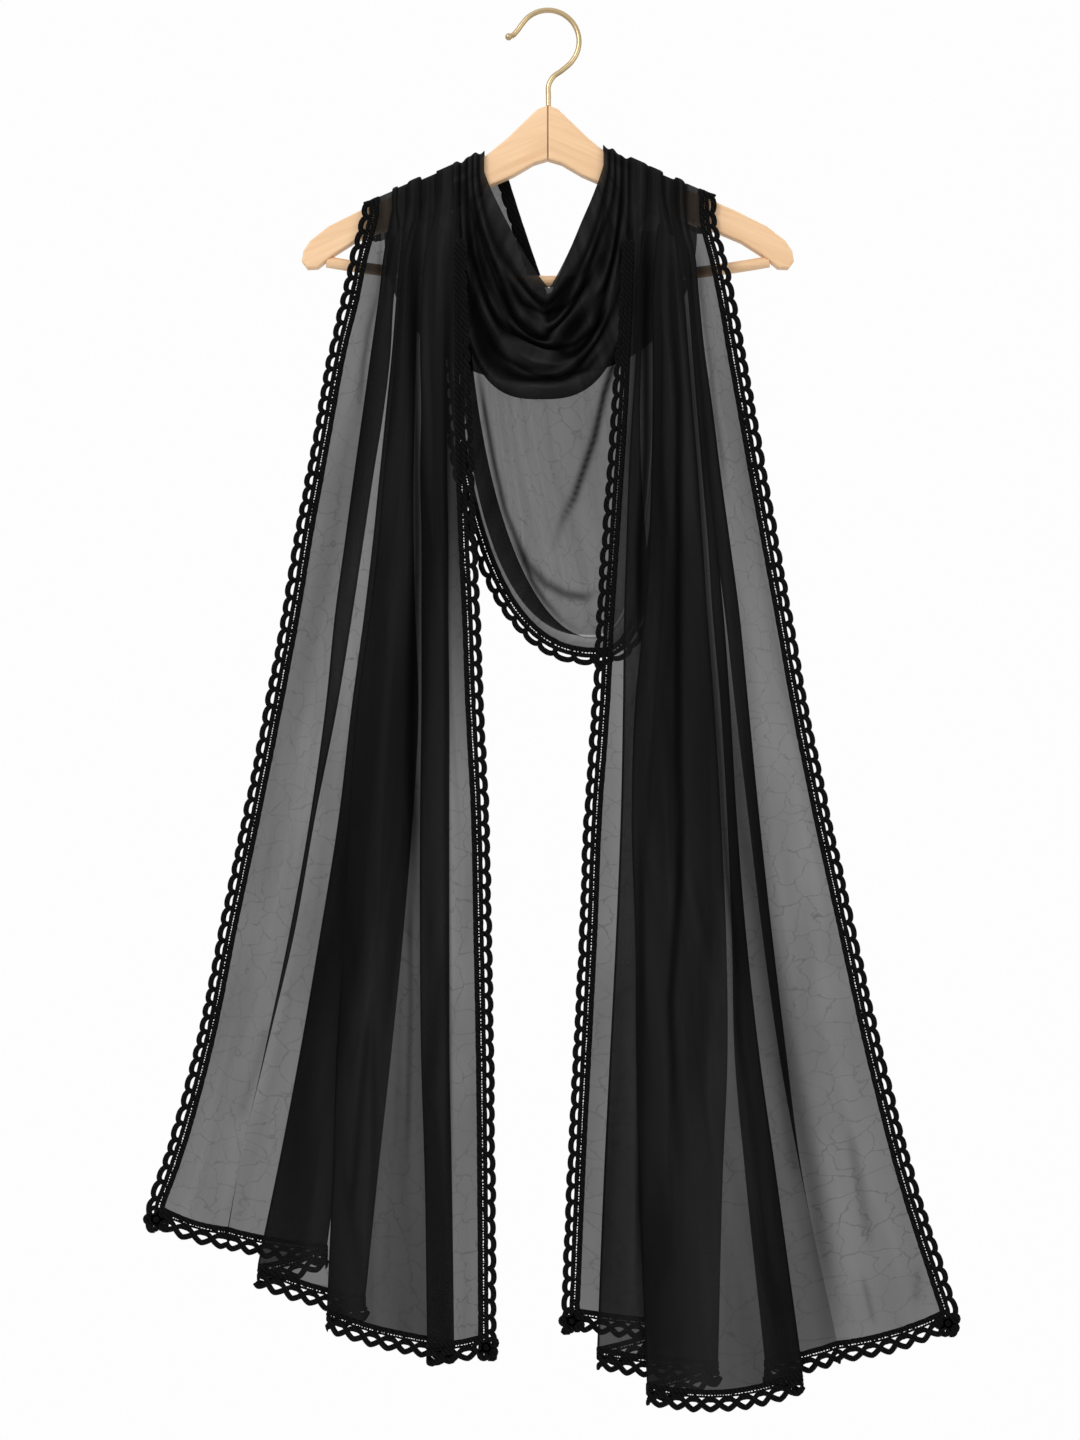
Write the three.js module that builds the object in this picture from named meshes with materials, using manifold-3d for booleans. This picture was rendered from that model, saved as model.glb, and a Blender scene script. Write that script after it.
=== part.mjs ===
// A long sheer stole with lace edging, worn as a neck wrap on a wooden hanger.
// Millimetres. +Z is up, the front faces -Y, and the origin is the inner top of the hook's loop.
import * as THREE from "three";
import Module from "manifold-3d";
import { mergeVertices } from "three/addons/utils/BufferGeometryUtils.js";

const wasm = await Module();
wasm.setup();

// ---- Sizes -------------------------------------------------------------------------------------

const CLOTH_WALL = 1.0;
const SEAM_GAP = 0.4;
const SIDE_LACE_WIDTH = 15;
const HEM_LACE_GAP = 1.2;
const INNER_LACE_TOP_Z = -214; // above this the inner lace is tucked under the rolls
const INNER_LACE_START = 0.55; // share of its width that shows there
const INNER_LACE_FULL_Z = -400;
const HEM_LACE_DEPTH = 19;
const LAYER_PITCH = 4; // from one layer of a pleat stack to the next
const PLEAT_TURN = 2.4; // how far a fold line stands beyond its flat layers
const PLEAT_START = 70; // the pleats open to their full pitch this far below the arm
const TURN_SHARE = 0.4; // a turn takes at most this share of a narrow panel
const TAIL_ROWS = 13;
const TAIL_ROW_CROWDING = 1.25; // over 1, the rows crowd towards the arm
const LACE_FIRST_ROW = 4; // the outer lace starts at the top of the roll over the arm

const WOOD_THICKNESS = 12;
const WOOD_BEVEL = 1.6;
const ARM_HALF_JOINT = 0.2;
const BAR_RADIUS = 5;
const BAR_HALF_LENGTH = 192;
const BAR_END_Z = -216.5;
const BAR_SAG = 17;
const BAR_BORE_GAP = 0.4;
const WIRE_RADIUS = 2.3;
const HOOK_RADIUS = 27.2;
const HOOK_CENTRE_Z = WIRE_RADIUS - HOOK_RADIUS;
const HOOK_TIP_RADIUS = 3.1;
const HOOK_STEM_END_Z = -81.2;

// The hook's centre line below its round loop, from the wood up, the loop's angles, and its tip.
const HOOK_STEM = [
  { x: 0.6, z: HOOK_STEM_END_Z },
  { x: 0.6, z: -72 },
  { x: 0.8, z: -63 },
  { x: 4.5, z: -56 },
  { x: 12.5, z: -50 },
];
const HOOK_LOOP_DEGREES = [-38, -20, 0, 22, 45, 68, 90, 110];
const HOOK_TIP = [
  { x: -17.5, z: -4.2 },
  { x: -22.5, z: -10 },
  { x: -26.6, z: -15.6 },
  { x: -30.2, z: -19.4 },
  { x: -34, z: -20.8 },
];
const HOOK_STEPS = 48;
const HOOK_SIDES = 4; // curve segments in half its round section
const BAR_STEPS = 24;
const BAR_SIDES = 8;

// Where cloth lies over an arm: half depth of the roll, its rise above the wood, and where it starts.
const ROLL_HALF_DEPTH = 9.5;
const ROLL_RISE = 7.5;
const ROLL_START = 3;
const ROLL_FRONT_DROP = 14;
const ROLL_BACK_DROP = 30;
const ROLL_TURNS = [0, 0.25, 0.5, 0.75, 1]; // shares of the half circle over the wood
const ROLL_RIPPLE = 3;
const ROLL_FLAP_LEAN = 2; // how far the back flap leans away from the wood
const SWAG_RIPPLE = 1.5;

// Top line of the wood, out from the middle.
const ARM_TOP = [
  { out: 0, z: -81.5 },
  { out: 9, z: -85 },
  { out: 20, z: -95.5 },
  { out: 35, z: -110 },
  { out: 54, z: -125.5 },
  { out: 90, z: -141.5 },
  { out: 125, z: -156.5 },
  { out: 163, z: -173 },
  { out: 190, z: -186.5 },
  { out: 206, z: -199 },
];

// Underside of the wood, from the tip in to the middle.
const ARM_UNDERSIDE = [
  { out: 212, z: -208 },
  { out: 213.5, z: -217 },
  { out: 209, z: -223 },
  { out: 200, z: -222.5 },
  { out: 186, z: -211.5 },
  { out: 168, z: -200 },
  { out: 130, z: -184 },
  { out: 92, z: -168 },
  { out: 58, z: -154.5 },
  { out: 30, z: -142.5 },
  { out: 12, z: -132 },
  { out: 0, z: -128.5 },
];

// Heights at which each fold line's x is given, under "x" in the tail tables.
const FOLD_HEIGHTS = [
  -185, -215, -250, -300, -350, -400, -460, -520, -600, -700, -800, -900, -1000,
];

// One row for each fold line of a tail, across the cloth. armX: on the arm. layer: how many layers in
// front of the rearmost one the panel after this line lies. hemX, hemZ: its end at the hem.
const LEFT_TAIL = [
  { line: "outer edge", armX: -143, layer: 0, hemX: -331, hemZ: -1035,
    x: [-148, -156, -163, -175, -184, -193, -204, -214, -229, -249, -270, -290, -318] },
  { line: "narrow pleat right", armX: -134, layer: 1, hemX: -274, hemZ: -1052,
    x: [-128, -129, -133, -136, -142, -150, -159, -168, -181, -200, -218, -242, -265] },
  { line: "narrow pleat left", armX: -132, layer: 2, hemX: -277, hemZ: -1050,
    x: [-137, -142, -146, -153, -160, -167, -175, -183, -191, -206, -224, -245, -267] },
  { line: "first tuck right", armX: -121, layer: 3, hemX: -190, hemZ: -1067,
    x: [-119, -114, -115, -117, -119, -120, -122, -123, -126, -131, -145, -164, -181] },
  { line: "first tuck left", armX: -119, layer: 4, hemX: -249, hemZ: -1082,
    x: [-124, -127, -130, -134, -139, -144, -150, -157, -168, -180, -196, -213, -232] },
  { line: "second tuck right", armX: -110, layer: 5, hemX: -156, hemZ: -1108,
    x: [-110, -109, -111, -113, -114, -115, -115, -114, -111, -116, -124, -134, -145] },
  { line: "second tuck left", armX: -108, layer: 6, hemX: -189, hemZ: -1118,
    x: [-117, -123, -127, -131, -135, -140, -145, -152, -163, -171, -175, -181, -184] },
  { line: "third tuck right", armX: -97, layer: 7, hemX: -80, hemZ: -1144,
    x: [-93, -89, -88, -87, -86, -86, -85, -85, -84, -84, -84, -84, -82] },
  { line: "third tuck left", armX: -95, layer: 8, hemX: -103, hemZ: -1145,
    x: [-99, -105, -108, -109, -108, -109, -108, -108, -108, -109, -109, -108, -105] },
  { line: "inner edge", armX: -87, layer: 8, hemX: -59, hemZ: -1138,
    x: [-85, -84, -84, -84, -83, -82, -79, -73, -70, -65, -63, -61, -60] },
];

const RIGHT_TAIL = [
  { line: "inner edge", armX: 82, layer: 0, hemX: 27, hemZ: -1120,
    x: [79, 77, 75, 72, 69, 65, 61, 57, 53, 46, 42, 37, 32] },
  { line: "first tuck right", armX: 87, layer: 1, hemX: 114, hemZ: -1129,
    x: [85, 83, 81, 80, 79, 80, 84, 89, 101, 107, 107, 104, 106] },
  { line: "first tuck left", armX: 89, layer: 2, hemX: 42, hemZ: -1151,
    x: [84, 80, 77, 75, 72, 69, 67, 65, 64, 62, 58, 53, 48] },
  { line: "second tuck right", armX: 97, layer: 3, hemX: 145, hemZ: -1161,
    x: [105, 111, 116, 120, 124, 128, 132, 136, 142, 148, 152, 153, 149] },
  { line: "second tuck left", armX: 99, layer: 4, hemX: 84, hemZ: -1179,
    x: [95, 91, 88, 89, 89, 88, 86, 82, 74, 71, 74, 75, 77] },
  { line: "third tuck right", armX: 109, layer: 3, hemX: 217, hemZ: -1169,
    x: [113, 119, 122, 127, 132, 137, 143, 149, 155, 161, 169, 180, 194] },
  { line: "third tuck left", armX: 111, layer: 2, hemX: 185, hemZ: -1161,
    x: [112, 115, 119, 123, 127, 131, 136, 140, 147, 153, 157, 159, 168] },
  { line: "narrow pleat right", armX: 118, layer: 1, hemX: 248, hemZ: -1145,
    x: [120, 126, 129, 134, 141, 147, 155, 163, 171, 181, 193, 205, 219] },
  { line: "narrow pleat left", armX: 120, layer: 0, hemX: 246, hemZ: -1147,
    x: [119, 120, 121, 125, 130, 135, 143, 151, 160, 172, 183, 195, 214] },
  { line: "outer edge", armX: 131, layer: 0, hemX: 335, hemZ: -1120,
    x: [132, 138, 145, 154, 163, 172, 183, 194, 208, 228, 250, 272, 297] },
];

const LEFT_TAIL_FRONT = 11; // how far in front of the hanger's middle the rearmost layer hangs
const RIGHT_TAIL_FRONT = 27;

// One row for each ridge and groove of the cowl, from the neckline down. leftX, rightX: on the arms.
// lowX, lowZ: the lowest point. reach: how far forward it stands there. leftBow, rightBow: 1 is
// straight, 2 is a quarter ellipse, and more is squarer.
const COWL_FOLDS = [
  { fold: "neckline", leftX: -55, lowX: 1, lowZ: -242, rightX: 48, leftBow: 1.15, rightBow: 1.12, reach: 14 },
  { fold: "first roll", leftX: -58, lowX: 0, lowZ: -253, rightX: 51, leftBow: 1.3, rightBow: 1.25, reach: 19 },
  { fold: "first groove", leftX: -60, lowX: -1, lowZ: -261, rightX: 53, leftBow: 1.45, rightBow: 1.35, reach: 15 },
  { fold: "second roll", leftX: -63, lowX: -2, lowZ: -272, rightX: 56, leftBow: 1.6, rightBow: 1.45, reach: 24 },
  { fold: "second groove", leftX: -65, lowX: -1, lowZ: -281, rightX: 58, leftBow: 1.75, rightBow: 1.6, reach: 19 },
  { fold: "third roll", leftX: -68, lowX: 2, lowZ: -292, rightX: 61, leftBow: 1.95, rightBow: 1.75, reach: 29 },
  { fold: "third groove", leftX: -70, lowX: 2, lowZ: -301, rightX: 64, leftBow: 2.1, rightBow: 1.9, reach: 23 },
  { fold: "fourth roll", leftX: -74, lowX: -2, lowZ: -313, rightX: 68, leftBow: 2.4, rightBow: 2.2, reach: 33 },
  { fold: "fourth groove", leftX: -76, lowX: -4, lowZ: -321, rightX: 70, leftBow: 2.6, rightBow: 2.4, reach: 27 },
  { fold: "last roll", leftX: -80, lowX: -6, lowZ: -333, rightX: 75, leftBow: 3.0, rightBow: 2.9, reach: 34 },
  { fold: "lower edge", leftX: -82, lowX: -6, lowZ: -339, rightX: 77, leftBow: 3.2, rightBow: 3.2, reach: 27 },
];

// One row for each line of the lower drape, from under the cowl to its lace. Its ends hang below the arms.
const DRAPE_FOLDS = [
  { fold: "top", leftX: -66, lowX: -4, lowZ: -312, rightX: 74, leftBow: 2.4, rightBow: 2.6, endReach: 10.4, reach: 15 },
  { fold: "upper swell", leftX: -67, lowX: 6, lowZ: -380, rightX: 80, leftBow: 2.3, rightBow: 2.6, endReach: 10.4, reach: 19 },
  { fold: "middle hollow", leftX: -68, lowX: 18, lowZ: -440, rightX: 85, leftBow: 2.1, rightBow: 2.6, endReach: 10.4, reach: 15 },
  { fold: "lower swell", leftX: -69, lowX: 28, lowZ: -485, rightX: 88, leftBow: 2.0, rightBow: 2.6, endReach: 10.4, reach: 19 },
  { fold: "crease", leftX: -70, lowX: 31, lowZ: -508, rightX: 90, leftBow: 2.0, rightBow: 2.6, endReach: 10.4, reach: 14 },
  { fold: "fold underside, back", leftX: -79, lowX: 38, lowZ: -541, rightX: 93, leftBow: 2.45, rightBow: 2.6, endReach: 10.4, reach: 17 },
  { fold: "fold underside, front", leftX: -79, lowX: 38, lowZ: -542.5, rightX: 94, leftBow: 2.45, rightBow: 2.6, endReach: 11.9, reach: 18.6 },
  { fold: "fold line, back", leftX: -71, lowX: 39, lowZ: -544, rightX: 95, leftBow: 2.0, rightBow: 2.6, endReach: 11.9, reach: 19.4 },
  { fold: "fold line, front", leftX: -71, lowX: 39, lowZ: -545.5, rightX: 96, leftBow: 2.0, rightBow: 2.6, endReach: 13.4, reach: 21 },
  { fold: "lace edge", leftX: -81, lowX: 44, lowZ: -553, rightX: 98, leftBow: 2.45, rightBow: 2.6, endReach: 13.4, reach: 22 },
];
const DRAPE_END_Z = -192;

// The two swags that cross behind the neck, from the upper edge down. leftX, rightX: where they leave
// the rolls over the arms. reach is forward, so less than 0 is behind the hanger's bar.
const BACK_SWAG_FROM_LEFT = [
  { fold: "upper edge", leftX: -55, lowX: -1, lowZ: -243, rightX: 82, leftBow: 1.12, rightBow: 1.25, reach: -16 },
  { fold: "first groove", leftX: -60, lowX: 0, lowZ: -256, rightX: 92, leftBow: 1.3, rightBow: 1.4, reach: -20 },
  { fold: "first roll", leftX: -65, lowX: 2, lowZ: -270, rightX: 102, leftBow: 1.5, rightBow: 1.6, reach: -17 },
  { fold: "second groove", leftX: -70, lowX: 3, lowZ: -284, rightX: 111, leftBow: 1.7, rightBow: 1.8, reach: -22 },
  { fold: "second roll", leftX: -76, lowX: 4, lowZ: -298, rightX: 121, leftBow: 1.9, rightBow: 2.0, reach: -18 },
  { fold: "lower edge", leftX: -82, lowX: 5, lowZ: -312, rightX: 131, leftBow: 2.1, rightBow: 2.2, reach: -21 },
];
const BACK_SWAG_FROM_RIGHT = [
  { fold: "upper edge", leftX: -87, lowX: 2, lowZ: -246, rightX: 48, leftBow: 1.25, rightBow: 1.12, reach: 4 },
  { fold: "first groove", leftX: -98, lowX: 1, lowZ: -260, rightX: 53, leftBow: 1.4, rightBow: 1.3, reach: 2 },
  { fold: "first roll", leftX: -109, lowX: 0, lowZ: -275, rightX: 59, leftBow: 1.6, rightBow: 1.5, reach: 5 },
  { fold: "second groove", leftX: -120, lowX: -2, lowZ: -290, rightX: 65, leftBow: 1.8, rightBow: 1.7, reach: 1 },
  { fold: "second roll", leftX: -132, lowX: -3, lowZ: -305, rightX: 71, leftBow: 2.0, rightBow: 1.9, reach: 5 },
  { fold: "lower edge", leftX: -143, lowX: -4, lowZ: -320, rightX: 77, leftBow: 2.2, rightBow: 2.1, reach: 2 },
];

// How a hanging line moves along Y. leftSoon, rightSoon: at once, over its first drop from an arm.
// late: the share of the rest it has gone, from how far out (1 at the arm, 0 in the middle) it is.
const COWL_PATH = { leftSoon: -9, rightSoon: -9, late: (out) => 1 - out ** 2 };
const DRAPE_PATH = { leftSoon: 0, rightSoon: 0, late: (out) => 1 - out ** 2 };
const LEFT_SWAG_PATH = { leftSoon: 0, rightSoon: 0, late: (out) => 1 - out ** 2 };
// It passes in front of the hanger's bar on the right and goes back under it to the left arm.
const RIGHT_SWAG_PATH = { leftSoon: 0, rightSoon: -19, late: (out) => (1 - out) ** 7 };

// ---- Finishes ----------------------------------------------------------------------------------

const CHIFFON = { color: 0x0b0b0c, roughness: 0.85, metalness: 0 };
const LACE = { color: 0x050505, roughness: 0.95, metalness: 0 };
const WOOD = { color: 0xd9ae7c, roughness: 0.5, metalness: 0 };
const BRASS = { color: 0xb08d4f, roughness: 0.3, metalness: 1 };

// ---- Small helpers -----------------------------------------------------------------------------

const clamp = (value, low, high) => Math.min(high, Math.max(low, value));
const mix = (from, to, share) => from + (to - from) * share;
const ease = (share) => {
  const s = clamp(share, 0, 1);
  return s * s * (3 - 2 * s);
};

// Reads a value off a table of { at, value } whose "at" falls.
function readFalling(table, at) {
  if (at >= table[0].at) return table[0].value;
  for (let i = 1; i < table.length; i++) {
    if (at >= table[i].at) {
      const share = (table[i - 1].at - at) / (table[i - 1].at - table[i].at);
      return mix(table[i - 1].value, table[i].value, share);
    }
  }
  return table[table.length - 1].value;
}

// Height of the wood's top line at x.
function armTopZ(x) {
  const out = Math.abs(x);
  for (let i = 1; i < ARM_TOP.length; i++) {
    if (out <= ARM_TOP[i].out) {
      const from = ARM_TOP[i - 1];
      return mix(from.z, ARM_TOP[i].z, (out - from.out) / (ARM_TOP[i].out - from.out));
    }
  }
  return ARM_TOP[ARM_TOP.length - 1].z;
}

function meshOf(name, geometry, finish) {
  const mesh = new THREE.Mesh(geometry, new THREE.MeshStandardMaterial(finish));
  mesh.name = name;
  return mesh;
}

// ---- Cloth walls -------------------------------------------------------------------------------

// A closed wall of even thickness on a grid of points, grid[row][column].
function wallGeometry(grid) {
  const rows = grid.length;
  const columns = grid[0].length;
  const positions = [];
  for (const side of [0.5, -0.5]) {
    for (let i = 0; i < rows; i++) {
      for (let j = 0; j < columns; j++) {
        const along = grid[Math.min(i + 1, rows - 1)][j].clone().sub(grid[Math.max(i - 1, 0)][j]);
        const across = grid[i][Math.min(j + 1, columns - 1)].clone().sub(grid[i][Math.max(j - 1, 0)]);
        const normal = along.cross(across).normalize();
        positions.push(...grid[i][j].clone().addScaledVector(normal, side * CLOTH_WALL).toArray());
      }
    }
  }
  const at = (side, i, j) => (side * rows + i) * columns + j;
  const faces = [];
  const quad = (a, b, c, d) => faces.push(a, b, c, a, c, d);
  for (let i = 0; i + 1 < rows; i++) {
    for (let j = 0; j + 1 < columns; j++) {
      quad(at(0, i, j), at(0, i + 1, j), at(0, i + 1, j + 1), at(0, i, j + 1));
      quad(at(1, i, j), at(1, i, j + 1), at(1, i + 1, j + 1), at(1, i + 1, j));
    }
    quad(at(0, i, 0), at(1, i, 0), at(1, i + 1, 0), at(0, i + 1, 0));
    quad(at(0, i + 1, columns - 1), at(1, i + 1, columns - 1), at(1, i, columns - 1), at(0, i, columns - 1));
  }
  for (let j = 0; j + 1 < columns; j++) {
    quad(at(0, 0, j + 1), at(1, 0, j + 1), at(1, 0, j), at(0, 0, j));
    quad(at(0, rows - 1, j), at(1, rows - 1, j), at(1, rows - 1, j + 1), at(0, rows - 1, j + 1));
  }
  const geometry = new THREE.BufferGeometry();
  geometry.setAttribute("position", new THREE.Float32BufferAttribute(positions, 3));
  geometry.setIndex(faces);
  return geometry;
}

// A strip of lace that stands out from an edge, given the way out at each point.
function laceGeometry(edge, outward, gap, widthAt) {
  const grid = [0, 1].map((share) =>
    edge.map((point, i) => point.clone().addScaledVector(outward[i], gap + share * widthAt(point.z))),
  );
  return wallGeometry(grid);
}

// What is left of an edge that runs down, below a height.
function cutBelow(edge, top) {
  const first = edge.findIndex((point) => point.z < top);
  const above = edge[first - 1];
  const share = (above.z - top) / (above.z - edge[first].z);
  return [above.clone().lerp(edge[first], share), ...edge.slice(first)];
}

// The way out from an edge in the plane that faces the front, on the side given.
function outwardAlong(edge, side) {
  return edge.map((_, i) => {
    const along = edge[Math.min(i + 1, edge.length - 1)].clone().sub(edge[Math.max(i - 1, 0)]);
    const level = Math.abs(along.y) > Math.hypot(along.x, along.z);
    const out = level ? new THREE.Vector3(-1, 0, 0) : new THREE.Vector3(along.z, 0, -along.x);
    return out.normalize().multiplyScalar(side);
  });
}

// Points of one column where it lies over an arm, from the back flap to the front.
function rollOverArm(x, frontReach, ripple) {
  const top = armTopZ(x);
  const reach = ROLL_HALF_DEPTH + ripple;
  const points = [
    new THREE.Vector3(x, reach + ROLL_FLAP_LEAN, top - ROLL_BACK_DROP),
    new THREE.Vector3(x, reach, top - ROLL_FRONT_DROP),
  ];
  for (const turn of ROLL_TURNS) {
    const angle = Math.PI * turn;
    points.push(
      new THREE.Vector3(
        x,
        Math.cos(angle) * reach,
        top - ROLL_START + Math.sin(angle) * (ROLL_RISE + ripple),
      ),
    );
  }
  points.push(new THREE.Vector3(x, -frontReach, top - ROLL_FRONT_DROP));
  return points;
}

// ---- Tails -------------------------------------------------------------------------------------

// A tail's columns: three for each fold line, which round the turn, and two on each panel between them.
function tailGrid(table, front) {
  const turns = table.map((row) => [
    { at: armTopZ(row.armX), value: row.armX },
    ...FOLD_HEIGHTS.map((z, i) => ({ at: z, value: row.x[i] })),
    { at: row.hemZ, value: row.hemX },
  ]);
  const section = (share) => {
    const lines = table.map((row, k) => {
      const top = armTopZ(row.armX) - ROLL_FRONT_DROP;
      const z = mix(top, row.hemZ, share);
      const open = ease((top - z) / PLEAT_START);
      return { x: readFalling(turns[k], z), z, open };
    });
    const depthOf = (k) => {
      const ripple = (k % 2) * ROLL_RIPPLE;
      return mix(ROLL_HALF_DEPTH + ripple, front + table[k].layer * LAYER_PITCH, lines[k].open);
    };
    const points = [];
    for (let k = 0; k < lines.length; k++) {
      const here = lines[k];
      const inset = (width) => clamp(TURN_SHARE * width, -PLEAT_TURN, PLEAT_TURN);
      if (k === 0) {
        points.push(new THREE.Vector3(here.x, -depthOf(0), here.z));
      } else if (k === lines.length - 1) {
        points.push(new THREE.Vector3(here.x, -depthOf(k - 1), here.z));
      } else {
        const before = depthOf(k - 1);
        const after = depthOf(k);
        points.push(
          new THREE.Vector3(here.x - inset(here.x - lines[k - 1].x), -before, here.z),
          new THREE.Vector3(here.x, -(before + after) / 2, here.z),
          new THREE.Vector3(here.x + inset(lines[k + 1].x - here.x), -after, here.z),
        );
      }
      if (k + 1 < lines.length) {
        const next = lines[k + 1];
        const from = here.x + (k === 0 ? 0 : inset(next.x - here.x));
        const to = next.x - (k + 2 === lines.length ? 0 : inset(next.x - here.x));
        points.push(new THREE.Vector3(mix(from, to, 0.5), -depthOf(k), mix(here.z, next.z, 0.5)));
      }
    }
    return points;
  };
  const first = section(0);
  const rolls = first.map((point, j) => rollOverArm(point.x, -point.y, -point.y - ROLL_HALF_DEPTH));
  const grid = rolls[0].map((_, i) => rolls.map((column) => column[i])).slice(0, -1);
  for (let i = 0; i < TAIL_ROWS; i++) grid.push(section((i / (TAIL_ROWS - 1)) ** TAIL_ROW_CROWDING));
  return grid;
}

// ---- Swags -------------------------------------------------------------------------------------

const SWAG_STEPS = 9; // points from an arm down to the lowest point
const SWAG_SOON_DROP = 45;
const SWAG_LIFT = 4; // the left tail's swag hangs this far behind the right tail's

// A quarter of a superellipse from an end (share 0) to the lowest point (share 1). It moves soonY along
// Y over its first SWAG_SOON_DROP, and the rest of the way as it nears the middle.
function bowed(end, low, bow, soonY, late, share) {
  const angle = (Math.PI / 2) * share;
  const across = Math.cos(angle) ** (2 / bow);
  const down = Math.sin(angle) ** (2 / bow);
  const z = mix(end.z, low.z, down);
  const soon = soonY * ease((end.z - z) / SWAG_SOON_DROP);
  const later = (low.y - end.y - soonY) * late(across);
  return new THREE.Vector3(mix(low.x, end.x, across), end.y + soon + later, z);
}

// One hanging line, from its left end to its right end.
function hangingLine(left, low, right, row, path) {
  const points = [];
  for (let i = 0; i <= SWAG_STEPS; i++) {
    points.push(bowed(left, low, row.leftBow, path.leftSoon, path.late, i / SWAG_STEPS));
  }
  for (let i = SWAG_STEPS - 1; i >= 0; i--) {
    points.push(bowed(right, low, row.rightBow, path.rightSoon, path.late, i / SWAG_STEPS));
  }
  return points;
}

// The cowl goes over both arms, so each line starts and ends on a back flap.
function cowlGrid() {
  return COWL_FOLDS.map((row, k) => {
    const ripple = (k % 2) * ROLL_RIPPLE;
    const endReach = ROLL_HALF_DEPTH + ripple;
    const endOf = (x) => new THREE.Vector3(x, -endReach, armTopZ(x) - ROLL_FRONT_DROP);
    const low = new THREE.Vector3(row.lowX, -row.reach, row.lowZ);
    const line = hangingLine(endOf(row.leftX), low, endOf(row.rightX), row, COWL_PATH);
    const leftRoll = rollOverArm(row.leftX, endReach, ripple).slice(0, -1);
    const rightRoll = rollOverArm(row.rightX, endReach, ripple).slice(0, -1).reverse();
    return [...leftRoll, ...line, ...rightRoll];
  });
}

function drapeGrid() {
  return DRAPE_FOLDS.map((row) => {
    const endOf = (x) => new THREE.Vector3(x, -row.endReach, DRAPE_END_Z);
    const low = new THREE.Vector3(row.lowX, -row.reach, row.lowZ);
    return hangingLine(endOf(row.leftX), low, endOf(row.rightX), row, DRAPE_PATH);
  });
}

function backSwagGrid(table, path, lift) {
  return table.map((row, k) => {
    const reach = ROLL_HALF_DEPTH + (k % 2) * SWAG_RIPPLE + ROLL_FLAP_LEAN;
    const endOf = (x) => new THREE.Vector3(x, reach + lift, armTopZ(x) - ROLL_BACK_DROP - 2 * SEAM_GAP);
    const low = new THREE.Vector3(row.lowX, -row.reach, row.lowZ);
    return hangingLine(endOf(row.leftX), low, endOf(row.rightX), row, path);
  });
}

// ---- Hanger ------------------------------------------------------------------------------------

function solidOf(geometry) {
  const bare = geometry.index ? geometry.toNonIndexed() : geometry.clone();
  bare.deleteAttribute("normal");
  bare.deleteAttribute("uv");
  const merged = mergeVertices(bare, 1e-3);
  return new wasm.Manifold(
    new wasm.Mesh({
      numProp: 3,
      vertProperties: new Float32Array(merged.attributes.position.array),
      triVerts: new Uint32Array(merged.index.array),
    }),
  );
}

function geometryOf(solid) {
  const mesh = solid.getMesh();
  const geometry = new THREE.BufferGeometry();
  geometry.setAttribute("position", new THREE.Float32BufferAttribute(mesh.vertProperties, 3));
  geometry.setIndex(new THREE.BufferAttribute(mesh.triVerts, 1));
  return geometry;
}

// A round rod of even radius along a curve.
function rodGeometry(curve, radius, steps, sides) {
  const ring = new THREE.Shape();
  ring.absarc(0, 0, radius, 0, 2 * Math.PI, false);
  return new THREE.ExtrudeGeometry(ring, { steps, extrudePath: curve, curveSegments: sides });
}

function barCurve(radiusOut) {
  const half = BAR_HALF_LENGTH + radiusOut;
  return new THREE.QuadraticBezierCurve3(
    new THREE.Vector3(-half, 0, BAR_END_Z),
    new THREE.Vector3(0, 0, BAR_END_Z - 2 * BAR_SAG),
    new THREE.Vector3(half, 0, BAR_END_Z),
  );
}

function armGeometry(side) {
  const outline = [...ARM_TOP, ...ARM_UNDERSIDE].map(
    (row) => new THREE.Vector2(side * Math.max(row.out, ARM_HALF_JOINT), row.z),
  );
  const blank = new THREE.ExtrudeGeometry(new THREE.Shape(outline), {
    depth: WOOD_THICKNESS - 2 * WOOD_BEVEL,
    bevelEnabled: true,
    bevelThickness: WOOD_BEVEL,
    bevelSize: WOOD_BEVEL,
    bevelOffset: -WOOD_BEVEL,
    bevelSegments: 2,
  });
  blank.rotateX(Math.PI / 2);
  blank.translate(0, WOOD_THICKNESS / 2 - WOOD_BEVEL, 0);
  const bore = rodGeometry(barCurve(BAR_BORE_GAP), BAR_RADIUS + BAR_BORE_GAP, BAR_STEPS, BAR_SIDES);
  return geometryOf(solidOf(blank).subtract(solidOf(bore)));
}

function hookGeometry() {
  const pointOf = (row) => new THREE.Vector3(row.x, 0, row.z);
  const onLoop = (degrees) => {
    const angle = THREE.MathUtils.degToRad(degrees);
    return pointOf({
      x: Math.cos(angle) * HOOK_RADIUS,
      z: HOOK_CENTRE_Z + Math.sin(angle) * HOOK_RADIUS,
    });
  };
  const points = [...HOOK_STEM.map(pointOf), ...HOOK_LOOP_DEGREES.map(onLoop), ...HOOK_TIP.map(pointOf)];
  const centreLine = new THREE.CatmullRomCurve3(points, false, "centripetal");
  const wire = rodGeometry(centreLine, WIRE_RADIUS, HOOK_STEPS, HOOK_SIDES);
  const tip = new THREE.SphereGeometry(HOOK_TIP_RADIUS, 14, 10);
  tip.translate(...points.at(-1).toArray());
  return geometryOf(solidOf(wire).add(solidOf(tip)));
}

// ---- Assembly ----------------------------------------------------------------------------------

const root = new THREE.Group();

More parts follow.
